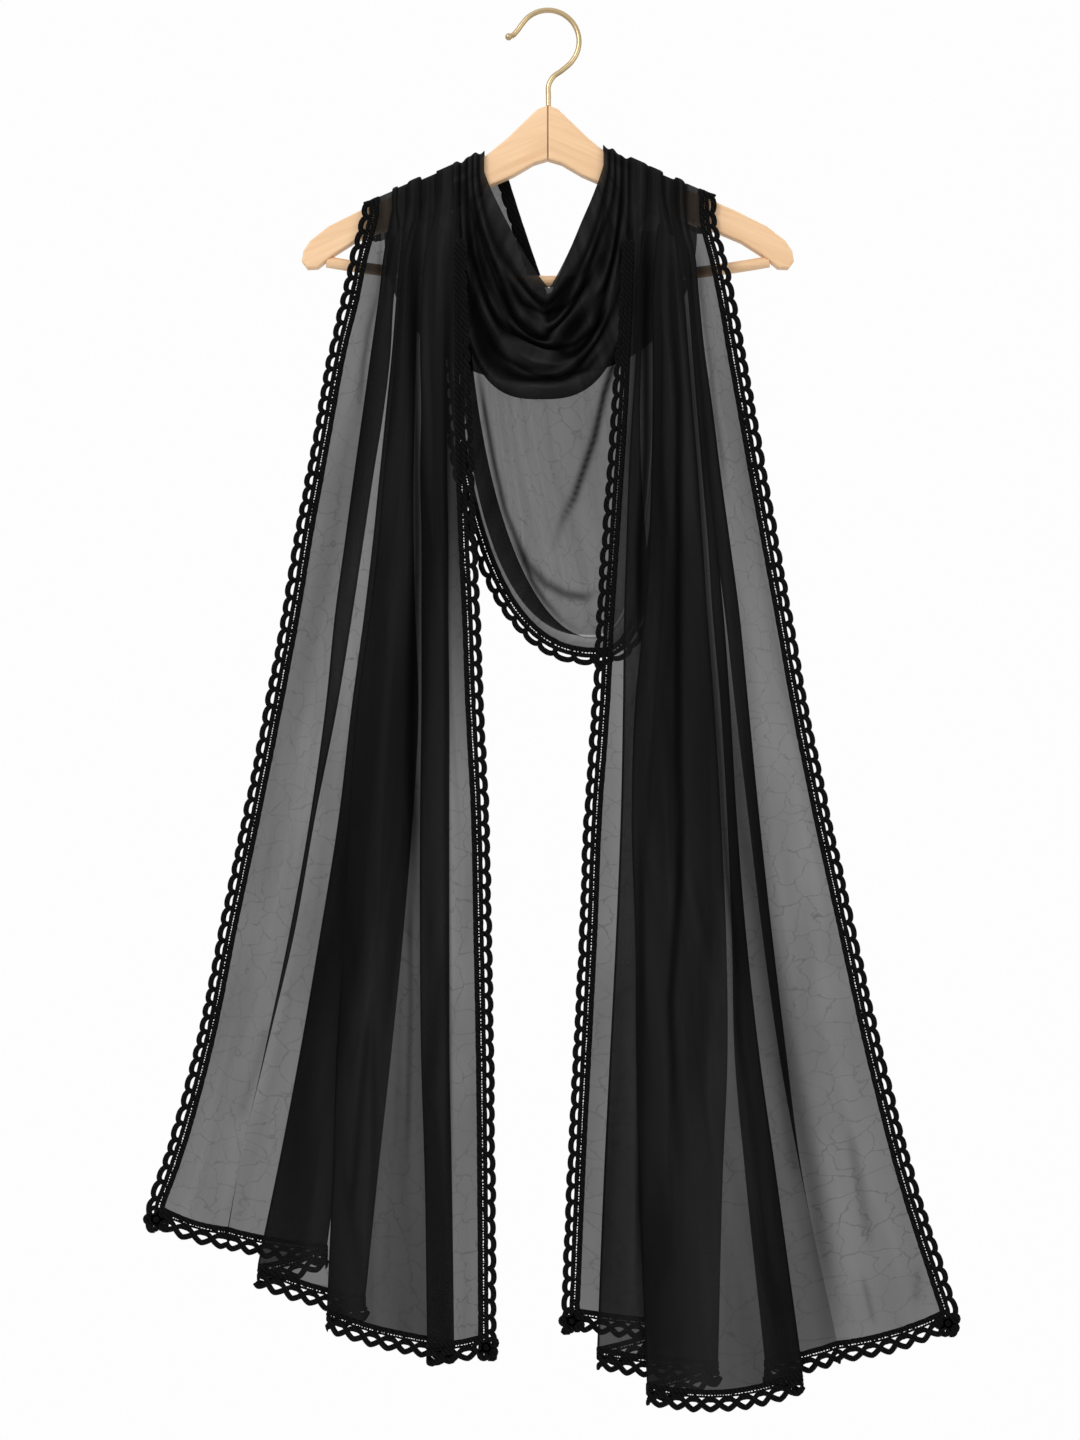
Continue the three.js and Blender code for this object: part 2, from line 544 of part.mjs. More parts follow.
function addTail(side, table, front, outerFirst) {
  const grid = tailGrid(table, front);
  const last = grid[0].length - 1;
  const hem = grid.at(-1);
  root.add(meshOf(`tail_${side}`, wallGeometry(grid), CHIFFON));
  const edges = [
    { edge: "outer", column: outerFirst ? 0 : last },
    { edge: "inner", column: outerFirst ? last : 0 },
  ];
  for (const { edge, column } of edges) {
    const whole = grid.slice(LACE_FIRST_ROW).map((row) => row[column].clone());
    const points = edge === "inner" ? cutBelow(whole, INNER_LACE_TOP_Z) : whole;
    points.push(points.at(-1).clone().setZ(points.at(-1).z - SEAM_GAP - HEM_LACE_DEPTH));
    const outward = outwardAlong(points, column === 0 ? 1 : -1);
    const narrowing = (z) =>
      mix(INNER_LACE_START, 1, clamp((INNER_LACE_TOP_Z - z) / (INNER_LACE_TOP_Z - INNER_LACE_FULL_Z), 0, 1));
    const widthAt = (z) => SIDE_LACE_WIDTH * (edge === "inner" ? narrowing(z) : 1);
    root.add(meshOf(`lace_${side}_${edge}`, laceGeometry(points, outward, SEAM_GAP, widthAt), LACE));
  }
  const down = hem.map(() => new THREE.Vector3(0, 0, -1));
  root.add(meshOf(`lace_${side}_hem`, laceGeometry(hem, down, HEM_LACE_GAP, () => HEM_LACE_DEPTH), LACE));
}

root.add(meshOf("hanger_hook", hookGeometry(), BRASS));
root.add(meshOf("hanger_arm_left", armGeometry(-1), WOOD));
root.add(meshOf("hanger_arm_right", armGeometry(1), WOOD));
root.add(meshOf("hanger_bar", rodGeometry(barCurve(0), BAR_RADIUS, BAR_STEPS, BAR_SIDES), WOOD));
addTail("left", LEFT_TAIL, LEFT_TAIL_FRONT, true);
addTail("right", RIGHT_TAIL, RIGHT_TAIL_FRONT, false);
root.add(meshOf("cowl", wallGeometry(cowlGrid()), CHIFFON));

const drape = drapeGrid();
const drapeEdge = drape.at(-1);
const drapeLace = laceGeometry(drapeEdge, outwardAlong(drapeEdge, 1), SEAM_GAP, () => SIDE_LACE_WIDTH);
root.add(meshOf("drape_lower", wallGeometry(drape), CHIFFON));
root.add(meshOf("lace_drape", drapeLace, LACE));

const leftSwag = backSwagGrid(BACK_SWAG_FROM_LEFT, LEFT_SWAG_PATH, SWAG_LIFT);
const rightSwag = backSwagGrid(BACK_SWAG_FROM_RIGHT, RIGHT_SWAG_PATH, 0);
root.add(meshOf("back_swag_left", wallGeometry(leftSwag), CHIFFON));
root.add(meshOf("back_swag_right", wallGeometry(rightSwag), CHIFFON));

export default root;
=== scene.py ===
"""A sheer black stole with crochet lace edges, wound as a neck wrap on a wooden hanger.

The tables are in millimetres, in the part's own frame: +Z up, the front faces -Y, and the origin is the
inner top of the hook's loop. Every mesh is made in metres.
"""
import logging
import math
from dataclasses import dataclass
from enum import Enum, IntEnum

import bpy
import numpy as np
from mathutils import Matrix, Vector


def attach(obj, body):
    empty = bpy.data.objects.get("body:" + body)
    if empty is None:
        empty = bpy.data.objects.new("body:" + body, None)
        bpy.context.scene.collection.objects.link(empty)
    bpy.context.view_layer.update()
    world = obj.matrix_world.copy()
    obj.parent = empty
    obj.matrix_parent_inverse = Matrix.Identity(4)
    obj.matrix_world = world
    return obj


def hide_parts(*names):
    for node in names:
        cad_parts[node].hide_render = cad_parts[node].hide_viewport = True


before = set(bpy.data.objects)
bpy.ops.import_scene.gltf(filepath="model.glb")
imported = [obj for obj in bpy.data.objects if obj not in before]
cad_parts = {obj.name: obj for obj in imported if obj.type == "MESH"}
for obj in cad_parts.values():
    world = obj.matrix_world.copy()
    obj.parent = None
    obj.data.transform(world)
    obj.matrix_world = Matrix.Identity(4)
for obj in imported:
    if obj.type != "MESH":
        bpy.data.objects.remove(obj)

LOG = logging.getLogger("stole")
MM = 0.001
BODY = "root"
CLOTH_UV = "cloth"

# ---- Sizes shared with the solids ---------------------------------------------------------------

LAYER_PITCH = 4.0
PLEAT_TURN = 2.4
PLEAT_START = 70.0
TURN_SHARE = 0.4
ROLL_HALF_DEPTH = 9.5
ROLL_RISE = 7.5
ROLL_START = 3.0
ROLL_FRONT_DROP = 14.0
ROLL_BACK_DROP = 30.0
ROLL_FLAP_LEAN = 2.0
SWAG_RIPPLE = 1.5
SWAG_LIFT = 4.0
SWAG_SOON_DROP = 45.0
SWAG_TUCK = 6.0
DRAPE_END_Z = -192.0

NEVER = -9999.0  # a height below every hem

ARM_TOP_OUT = (0, 9, 20, 35, 54, 90, 125, 163, 190, 206)
ARM_TOP_Z = (-81.5, -85, -95.5, -110, -125.5, -141.5, -156.5, -173, -186.5, -199)
FOLD_HEIGHTS = (-185, -215, -250, -300, -350, -400, -460, -520, -600, -700, -800, -900, -1000)

# How much of the light one layer stops, by kind of stretch.
THIN = 0.84
CLOSE = 0.945
TURNED = 0.93
GATHERED = 0.985
DENSER_FADE = 260.0
OPENING = 150.0
OPENED = 0.93  # how much of its closeness a pleat loses as it opens out


class Side(Enum):
    """Which arm of the hanger a tail hangs from."""

    LEFT = "left"
    RIGHT = "right"


class LaceKind(Enum):
    """The two lace patterns."""

    SIDE = "side"
    HEM = "hem"


# ---- Numbers ------------------------------------------------------------------------------------


def ease(share: np.ndarray | float) -> np.ndarray:
    """A smooth step from 0 to 1."""
    s = np.clip(share, 0.0, 1.0)
    return s * s * (3.0 - 2.0 * s)


def mix(start: np.ndarray | float, end: np.ndarray | float, share: np.ndarray | float) -> np.ndarray:
    """Goes from start to end as share goes from 0 to 1."""
    return start + (end - start) * share


def smooth_table(at: np.ndarray, knots: np.ndarray, values: np.ndarray) -> np.ndarray:
    """Reads a table on a smooth curve through its rows.

    Args:
        at: where to read it.
        knots: the rows' positions, rising or falling.
        values: one value, or one row of values, for each knot.

    Returns:
        The values at each position asked for.
    """
    k = np.asarray(knots, float)
    v = np.asarray(values, float)
    if k[0] > k[-1]:
        k, v = k[::-1], v[::-1]
    slopes = np.gradient(v, k, axis=0)
    i = np.clip(np.searchsorted(k, at) - 1, 0, len(k) - 2)
    gap = k[i + 1] - k[i]
    t = np.clip((at - k[i]) / gap, 0.0, 1.0)
    if v.ndim == 2:
        gap, t = gap[:, None], t[:, None]
    start = (1 + 2 * t) * (1 - t) ** 2 * v[i] + t * (1 - t) ** 2 * gap * slopes[i]
    end = t * t * (3 - 2 * t) * v[i + 1] + t * t * (t - 1) * gap * slopes[i + 1]
    return start + end


def arm_top(x: np.ndarray | float) -> np.ndarray:
    """Height of the wood's top line at x."""
    return np.interp(np.abs(x), ARM_TOP_OUT, ARM_TOP_Z)


def roll_swell(x: np.ndarray | float) -> np.ndarray:
    """How far the soft gathers on an arm swell out at x."""
    return 1.7 + 1.3 * np.sin(0.36 * x) + 0.7 * np.sin(0.79 * x + 1.0)


def unit(vectors: np.ndarray) -> np.ndarray:
    """Vectors of length 1 along the last axis."""
    return vectors / np.maximum(np.linalg.norm(vectors, axis=-1, keepdims=True), 1e-9)


# ---- Finishes -----------------------------------------------------------------------------------


class NodeBench:
    """Builds the nodes of one material."""

    def __init__(self, name: str) -> None:
        """Starts a material with a Principled shader."""
        self.material = bpy.data.materials.new(name)
        self.material.use_nodes = True
        self.tree = self.material.node_tree
        self.shader = self.tree.nodes["Principled BSDF"]

    def add(self, kind: str, sockets: dict | None = None, **settings: object) -> bpy.types.Node:
        """Adds a node.

        Args:
            kind: the node's type.
            sockets: input name or number to a value, or to the socket that feeds it.
            **settings: the node's own settings.

        Returns:
            The node.
        """
        node = self.tree.nodes.new(kind)
        for key, value in settings.items():
            setattr(node, key, value)
        for key, value in (sockets or {}).items():
            if isinstance(value, bpy.types.NodeSocket):
                self.tree.links.new(value, node.inputs[key])
            else:
                node.inputs[key].default_value = value
        return node

    def maths(self, operation: str, first: object, second: object = 0.0) -> bpy.types.NodeSocket:
        """A Math node's result, kept between 0 and 1 only where the operation does so."""
        return self.add("ShaderNodeMath", {0: first, 1: second}, operation=operation).outputs[0]

    def remap(self, value: object, low: float, high: float, to_low: float, to_high: float) -> object:
        """A value moved from one range to another, and kept inside it."""
        sockets = {"Value": value, "From Min": low, "From Max": high, "To Min": to_low, "To Max": to_high}
        return self.add("ShaderNodeMapRange", sockets).outputs["Result"]

    def scaled(self, coordinates: object, scale: tuple, turn: tuple = (0.0, 0.0, 0.0)) -> object:
        """Coordinates stretched and turned."""
        sockets = {"Vector": coordinates, "Scale": scale, "Rotation": turn}
        return self.add("ShaderNodeMapping", sockets).outputs["Vector"]

    def noise(self, coordinates: object, scale: float, detail: float, warp: float = 0.0) -> object:
        """Soft noise from 0 to 1."""
        sockets = {"Vector": coordinates, "Scale": scale, "Detail": detail, "Distortion": warp}
        return self.add("ShaderNodeTexNoise", sockets).outputs["Fac"]

    def bump(self, height: object, strength: float, distance: float) -> None:
        """Feeds the shader's normal from a height."""
        sockets = {"Height": height, "Strength": strength, "Distance": distance}
        node = self.add("ShaderNodeBump", sockets)
        self.feed("Normal", node.outputs["Normal"])

    def feed(self, socket: str, value: object) -> None:
        """Sets one of the shader's sockets, or links it."""
        if isinstance(value, bpy.types.NodeSocket):
            self.tree.links.new(value, self.shader.inputs[socket])
        else:
            self.shader.inputs[socket].default_value = value

    def tint(self, amount: object, dark: tuple, light: tuple) -> object:
        """A colour between two, by amount."""
        node = self.add("ShaderNodeMix", {"Factor": amount}, data_type="RGBA", clamp_factor=False)
        node.inputs["A"].default_value = (*dark, 1.0)
        node.inputs["B"].default_value = (*light, 1.0)
        return node.outputs["Result"]


@dataclass(frozen=True)
class Chiffon:
    """Sheer crinkled black chiffon. Each vertex says how much light it stops, and how deep the shade painted
    on it is.
    """

    # dark: the colour in full painted shade; light: the colour with no painted shade. Past light, it is
    # painted highlight.
    dark: tuple[float, float, float] = (0.0008, 0.0008, 0.0008)
    light: tuple[float, float, float] = (0.0098, 0.0096, 0.0097)
    roughness: float = 0.82
    sheen: float = 0.015
    streaks_per_metre: float = 62.0
    crackle_per_metre: float = 72.0
    crackle_width: float = 0.038
    crackle_share: float = 0.36
    streak_share: float = 0.09
    cloud_share: float = 0.07
    grain_share: float = 0.07
    grain_per_metre: float = 1500.0

    def material(self) -> bpy.types.Material:
        """The finish as a node material."""
        bench = NodeBench("black_chiffon")
        uv = bench.add("ShaderNodeUVMap", uv_map=CLOTH_UV).outputs["UV"]
        cover = bench.add("ShaderNodeAttribute", attribute_name="cover").outputs["Fac"]
        shade = bench.add("ShaderNodeAttribute", attribute_name="shade").outputs["Fac"]
        tall = bench.scaled(uv, (self.streaks_per_metre, self.streaks_per_metre * 0.07, 1.0))
        # Soft tall streaks: real streaks in the sheer's opacity and relief, and painted fold shade in its
        # colour.
        streak_and_painted_shade = bench.noise(tall, 1.0, 3.0, 0.6)
        cloud = bench.noise(uv, 9.0, 3.0)
        warp = bench.add("ShaderNodeTexNoise", {"Vector": uv, "Scale": 55.0, "Detail": 3.0})
        shift = bench.add("ShaderNodeVectorMath", {0: warp.outputs["Color"], 1: (0.024, 0.024, 0.0)},
                          operation="MULTIPLY").outputs[0]
        moved = bench.add("ShaderNodeVectorMath", {0: uv, 1: shift}, operation="ADD").outputs[0]
        tile = bench.scaled(moved, (1.0, 0.7, 1.0))
        cells = bench.add("ShaderNodeTexVoronoi", {"Vector": tile, "Scale": self.crackle_per_metre},
                          feature="DISTANCE_TO_EDGE", voronoi_dimensions="2D").outputs["Distance"]
        crackle = bench.remap(cells, 0.0, self.crackle_width, 1.0, 0.0)
        faint = bench.maths("MULTIPLY", crackle, bench.remap(cloud, 0.35, 0.65, 0.5, 1.0))
        grain = bench.noise(uv, self.grain_per_metre, 1.0)

        passes = bench.maths("SUBTRACT", 1.0, cover)
        veins = bench.maths("MULTIPLY", faint, self.crackle_share)
        passes = bench.maths("MULTIPLY", passes, bench.maths("SUBTRACT", 1.0, veins))
        swings = ((streak_and_painted_shade, self.streak_share), (cloud, self.cloud_share), (grain, self.grain_share))
        for texture, swing in swings:
            swung = bench.remap(texture, 0.3, 0.7, 1.0 - swing, 1.0 + swing)
            passes = bench.maths("MULTIPLY", passes, swung)
        bench.feed("Alpha", bench.maths("SUBTRACT", 1.0, passes))

        # Painted shade and painted highlight: the colour goes from dark to light, and past it, by the shade
        # attribute times the streaks.
        depth = bench.maths("MULTIPLY", shade, bench.remap(streak_and_painted_shade, 0.3, 0.7, 0.45, 1.4))
        bench.feed("Base Color", bench.tint(depth, self.dark, self.light))
        bench.feed("Roughness", bench.remap(grain, 0.3, 0.7, self.roughness - 0.05, self.roughness + 0.05))
        bench.feed("Sheen Weight", self.sheen)
        bench.feed("Sheen Roughness", 0.45)
        bench.feed("Specular IOR Level", 0.03)
        relief = bench.maths("ADD", streak_and_painted_shade, bench.maths("MULTIPLY", grain, 0.12))
        bench.bump(relief, 0.35, 0.004)
        return bench.material


@dataclass(frozen=True)
class CrochetYarn:
    """Matt black twisted cotton yarn."""

    dark: tuple[float, float, float] = (0.0012, 0.0012, 0.0013)
    light: tuple[float, float, float] = (0.0075, 0.0073, 0.0075)
    roughness: float = 0.92
    strands_per_metre: float = 620.0

    def material(self) -> bpy.types.Material:
        """The finish as a node material."""
        bench = NodeBench("black_crochet")
        place = bench.add("ShaderNodeTexCoord").outputs["Object"]
        turned = bench.scaled(place, (1.0, 1.0, 1.0), (0.0, 0.7, 0.3))
        twist = bench.add("ShaderNodeTexWave", {"Vector": turned, "Scale": self.strands_per_metre / 6.0,
                                                 "Distortion": 3.5, "Detail": 2.0}).outputs["Fac"]
        fuzz = bench.noise(place, self.strands_per_metre * 2.0, 2.0)
        # The colour follows the yarn's relief and is darker where it is low: painted shade between the
        # strands, with random tone from the fuzz.
        both = bench.maths("ADD", bench.maths("MULTIPLY", twist, 0.6), bench.maths("MULTIPLY", fuzz, 0.4))
        bench.feed("Base Color", bench.tint(both, self.dark, self.light))
        bench.feed("Roughness", bench.remap(fuzz, 0.3, 0.7, self.roughness - 0.06, self.roughness + 0.06))
        bench.feed("Specular IOR Level", 0.04)
        bench.feed("Sheen Weight", 0.02)
        bench.bump(both, 0.6, 0.0006)
        return bench.material


@dataclass(frozen=True)
class Beech:
    """Pale beech under clear satin lacquer, its grain along the length of the piece."""

    name: str
    slope_degrees: float
    dark: tuple[float, float, float] = (0.80, 0.49, 0.265)
    light: tuple[float, float, float] = (0.93, 0.635, 0.375)
    pore: tuple[float, float, float] = (0.42, 0.22, 0.09)
    roughness: float = 0.42

    def material(self) -> bpy.types.Material:
        """The finish as a node material."""
        bench = NodeBench(self.name)
        place = bench.add("ShaderNodeTexCoord").outputs["Object"]
        turned = bench.scaled(place, (1.0, 1.0, 1.0), (0.0, math.radians(self.slope_degrees), 0.0))
        long_way = bench.scaled(turned, (5.0, 90.0, 90.0))
        bands = bench.noise(long_way, 1.0, 4.0, 1.2)
        fine = bench.noise(bench.scaled(turned, (30.0, 900.0, 900.0)), 1.0, 3.0)
        flecks = bench.noise(bench.scaled(turned, (140.0, 1500.0, 1500.0)), 1.0, 1.0)
        tone = bench.maths("ADD", bench.maths("MULTIPLY", bands, 0.7), bench.maths("MULTIPLY", fine, 0.3))
        colour = bench.tint(bench.remap(tone, 0.32, 0.66, 0.0, 1.0), self.dark, self.light)
        marked = bench.add("ShaderNodeMix", {"Factor": bench.remap(flecks, 0.68, 0.8, 0.0, 0.35)},
                           data_type="RGBA")
        bench.tree.links.new(colour, marked.inputs["A"])
        marked.inputs["B"].default_value = (*self.pore, 1.0)
        bench.feed("Base Color", marked.outputs["Result"])
        bench.feed("Roughness", bench.remap(fine, 0.3, 0.7, self.roughness - 0.06, self.roughness + 0.08))
        bench.feed("Coat Weight", 0.18)
        bench.feed("Coat Roughness", 0.3)
        bench.bump(tone, 0.12, 0.0008)
        return bench.material


@dataclass(frozen=True)
class GlueLine:
    """The brown glue line of a wood joint."""

    dark: tuple[float, float, float] = (0.26, 0.14, 0.07)
    light: tuple[float, float, float] = (0.42, 0.25, 0.13)

    def material(self) -> bpy.types.Material:
        """The finish as a node material."""
        bench = NodeBench("glue_line")
        place = bench.add("ShaderNodeTexCoord").outputs["Object"]
        cloud = bench.noise(place, 160.0, 3.0)
        bench.feed("Base Color", bench.tint(cloud, self.dark, self.light))
        bench.feed("Roughness", bench.remap(cloud, 0.3, 0.7, 0.5, 0.7))
        return bench.material


@dataclass(frozen=True)
class BrassWire:
    """Drawn brass wire, lightly aged."""

    bright: tuple[float, float, float] = (0.66, 0.51, 0.30)
    aged: tuple[float, float, float] = (0.52, 0.385, 0.20)
    roughness: float = 0.27

    def material(self) -> bpy.types.Material:
        """The finish as a node material."""
        bench = NodeBench("brass_wire")
        place = bench.add("ShaderNodeTexCoord").outputs["Object"]
        patches = bench.noise(place, 30.0, 2.0)
        scratches = bench.noise(bench.scaled(place, (120.0, 120.0, 30.0)), 1.0, 2.0)
        bench.feed("Base Color", bench.tint(bench.remap(patches, 0.4, 0.7, 0.0, 1.0), self.bright, self.aged))
        bench.feed("Metallic", 1.0)
        rough = bench.remap(scratches, 0.3, 0.7, self.roughness - 0.03, self.roughness + 0.04)
        bench.feed("Roughness", rough)
        return bench.material


@dataclass(frozen=True)
class FloorPaint:
    """A plain pale floor."""

    colour: tuple[float, float, float] = (0.86, 0.86, 0.86)

    def material(self) -> bpy.types.Material:
        """The finish as a node material."""
        bench = NodeBench("pale_floor")
        place = bench.add("ShaderNodeTexCoord").outputs["Object"]
        cloud = bench.noise(place, 3.0, 2.0)
        lower = tuple(c * 0.97 for c in self.colour)
        bench.feed("Base Color", bench.tint(cloud, lower, self.colour))
        bench.feed("Roughness", 0.9)
        return bench.material


# ---- Meshes -------------------------------------------------------------------------------------


def link_mesh(name: str, vertices: np.ndarray, faces: list, material: bpy.types.Material) -> bpy.types.Object:
    """Makes a smooth mesh object from points in millimetres.

    Args:
        name: the piece's name.
        vertices: its points, in millimetres.
        faces: vertex numbers of each face.
        material: its finish.

    Returns:
        The object, in the scene.
    """
    mesh = bpy.data.meshes.new(name)
    mesh.from_pydata((vertices * MM).tolist(), [], faces)
    mesh.polygons.foreach_set("use_smooth", [True] * len(mesh.polygons))
    mesh.materials.append(material)
    mesh.update()
    thing = bpy.data.objects.new(name, mesh)
    bpy.context.scene.collection.objects.link(thing)
    return thing


@dataclass
class ClothGrid:
    """A sheet of cloth as a grid of points, with how much light it stops and its painted shade at each."""

    points: np.ndarray
    cover: np.ndarray
    shade: np.ndarray

    def area(self) -> float:
        """Its area in square metres."""
        down = np.diff(self.points, axis=0)[:, :-1]
        over = np.diff(self.points, axis=1)[:-1]
        return float(np.linalg.norm(np.cross(down, over), axis=-1).sum()) * MM * MM

    def creased(self, creases: tuple["Crease", ...]) -> "ClothGrid":
        """Presses creases in, and paints shade or highlight along them.

        Args:
            creases: the creases, in order.

        Returns:
            The same sheet.
        """
        for crease in creases:
            near = crease.nearness(self.points)
            self.points[..., 1] += near * crease.depth
            self.cover = self.cover + (0.995 - self.cover) * near * crease.closes
            # Painted shade along the crease; where darkens is below 0, a painted highlight.
            self.shade = self.shade * (1.0 - near * crease.darkens)
        return self

    def build(self, name: str, material: bpy.types.Material) -> bpy.types.Object:
        """Makes the mesh, with its flat coordinates in metres as UVs.

        Args:
            name: the piece's name.
            material: its finish.

        Returns:
            The object, in the scene.
        """
        rows, columns = self.points.shape[:2]
        numbers = np.arange(rows * columns).reshape(rows, columns)
        faces = np.stack(
            [numbers[:-1, :-1], numbers[1:, :-1], numbers[1:, 1:], numbers[:-1, 1:]], axis=-1
        ).reshape(-1, 4)
        thing = link_mesh(name, self.points.reshape(-1, 3), faces.tolist(), material)
        over = np.linalg.norm(np.diff(self.points[rows // 2], axis=0), axis=-1)
        down = np.linalg.norm(np.diff(self.points[:, columns // 2], axis=0), axis=-1)
        u = np.concatenate([[0.0], np.cumsum(over)]) * MM
        v = np.concatenate([[0.0], np.cumsum(down)]) * -MM
        flat = np.stack([np.broadcast_to(u[None, :], (rows, columns)),
                         np.broadcast_to(v[:, None], (rows, columns))], axis=-1).reshape(-1, 2)
        layer = thing.data.uv_layers.new(name=CLOTH_UV)
        layer.data.foreach_set("uv", flat[faces.reshape(-1)].astype(np.float32).reshape(-1))
        for key, values in (("cover", self.cover), ("shade", self.shade)):
            attribute = thing.data.attributes.new(key, "FLOAT", "POINT")
            attribute.data.foreach_set("value", values.astype(np.float32).reshape(-1))
        return thing


@dataclass(frozen=True)
class Crease:
    """A listed crease. line: its points as (x, z). width: half its breadth.

    depth: how far it presses the cloth back. closes: how far it closes the weave. darkens: how far it deepens
    the painted shade along it; below 0 it paints a highlight along a ridge.
    """

    line: tuple[tuple[float, float], ...]
    width: float
    depth: float
    closes: float
    darkens: float

    def nearness(self, points: np.ndarray) -> np.ndarray:
        """How near each point is to the crease.

        Args:
            points: the sheet's points.

        Returns:
            1 on the crease, and falling to 0 beside it and at its ends.
        """
        best = np.full(points.shape[:2], 1e9)
        along = np.zeros(points.shape[:2])
        marks = np.asarray(self.line, float)
        lengths = np.linalg.norm(np.diff(marks, axis=0), axis=1)
        done = 0.0
        flat = points[..., [0, 2]]
        for start, end, length in zip(marks[:-1], marks[1:], lengths):
            step = (end - start) / length
            reach = np.clip((flat - start) @ step, 0.0, length)
            away = np.linalg.norm(flat - start - reach[..., None] * step, axis=-1)
            closer = away < best
            best = np.where(closer, away, best)
            along = np.where(closer, done + reach, along)
            done += length
        fade = ease(along / (0.2 * done)) * ease((done - along) / (0.2 * done))
        return np.exp(-((best / self.width) ** 2)) * (0.15 + 0.85 * fade)


# ---- Lace ---------------------------------------------------------------------------------------


class YarnMesh:
    """Many yarns joined in one mesh."""

    def __init__(self) -> None:
        """Starts with nothing."""
        self.points: list[np.ndarray] = []
        self.faces: list[list[int]] = []
        self.count = 0

    def add(self, path: np.ndarray, side: np.ndarray, face: np.ndarray, broad: np.ndarray,
            thick: float, sides: int, closed: bool) -> None:
        """Adds one yarn.

        Args:
            path: its centre line.
            side: the way across it in the lace's plane, at each point.
            face: the lace's own facing, at each point.
            broad: half its breadth at each point.
            thick: half its thickness.
            sides: how many sides its section has.
            closed: whether it joins up with its start.
        """
        turn = 2.0 * math.pi * np.arange(sides) / sides
        ring = (path[:, None, :]
                + np.cos(turn)[None, :, None] * broad[:, None, None] * side[:, None, :]
                + np.sin(turn)[None, :, None] * thick * face[:, None, :])
        rows = len(path)
        numbers = self.count + np.arange(rows * sides).reshape(rows, sides)
        after = np.roll(numbers, -1, axis=0) if closed else numbers[1:]
        before = numbers if closed else numbers[:-1]
        quads = np.stack([before, np.roll(before, -1, axis=1), np.roll(after, -1, axis=1), after], axis=-1)
        self.faces.extend(quads.reshape(-1, 4).tolist())
        if not closed:
            self.faces.append(numbers[0, ::-1].tolist())
            self.faces.append(numbers[-1].tolist())
        self.points.append(ring.reshape(-1, 3))
        self.count += rows * sides

    def build(self, name: str, material: bpy.types.Material) -> bpy.types.Object:
        """Makes the mesh."""
        return link_mesh(name, np.concatenate(self.points), self.faces, material)


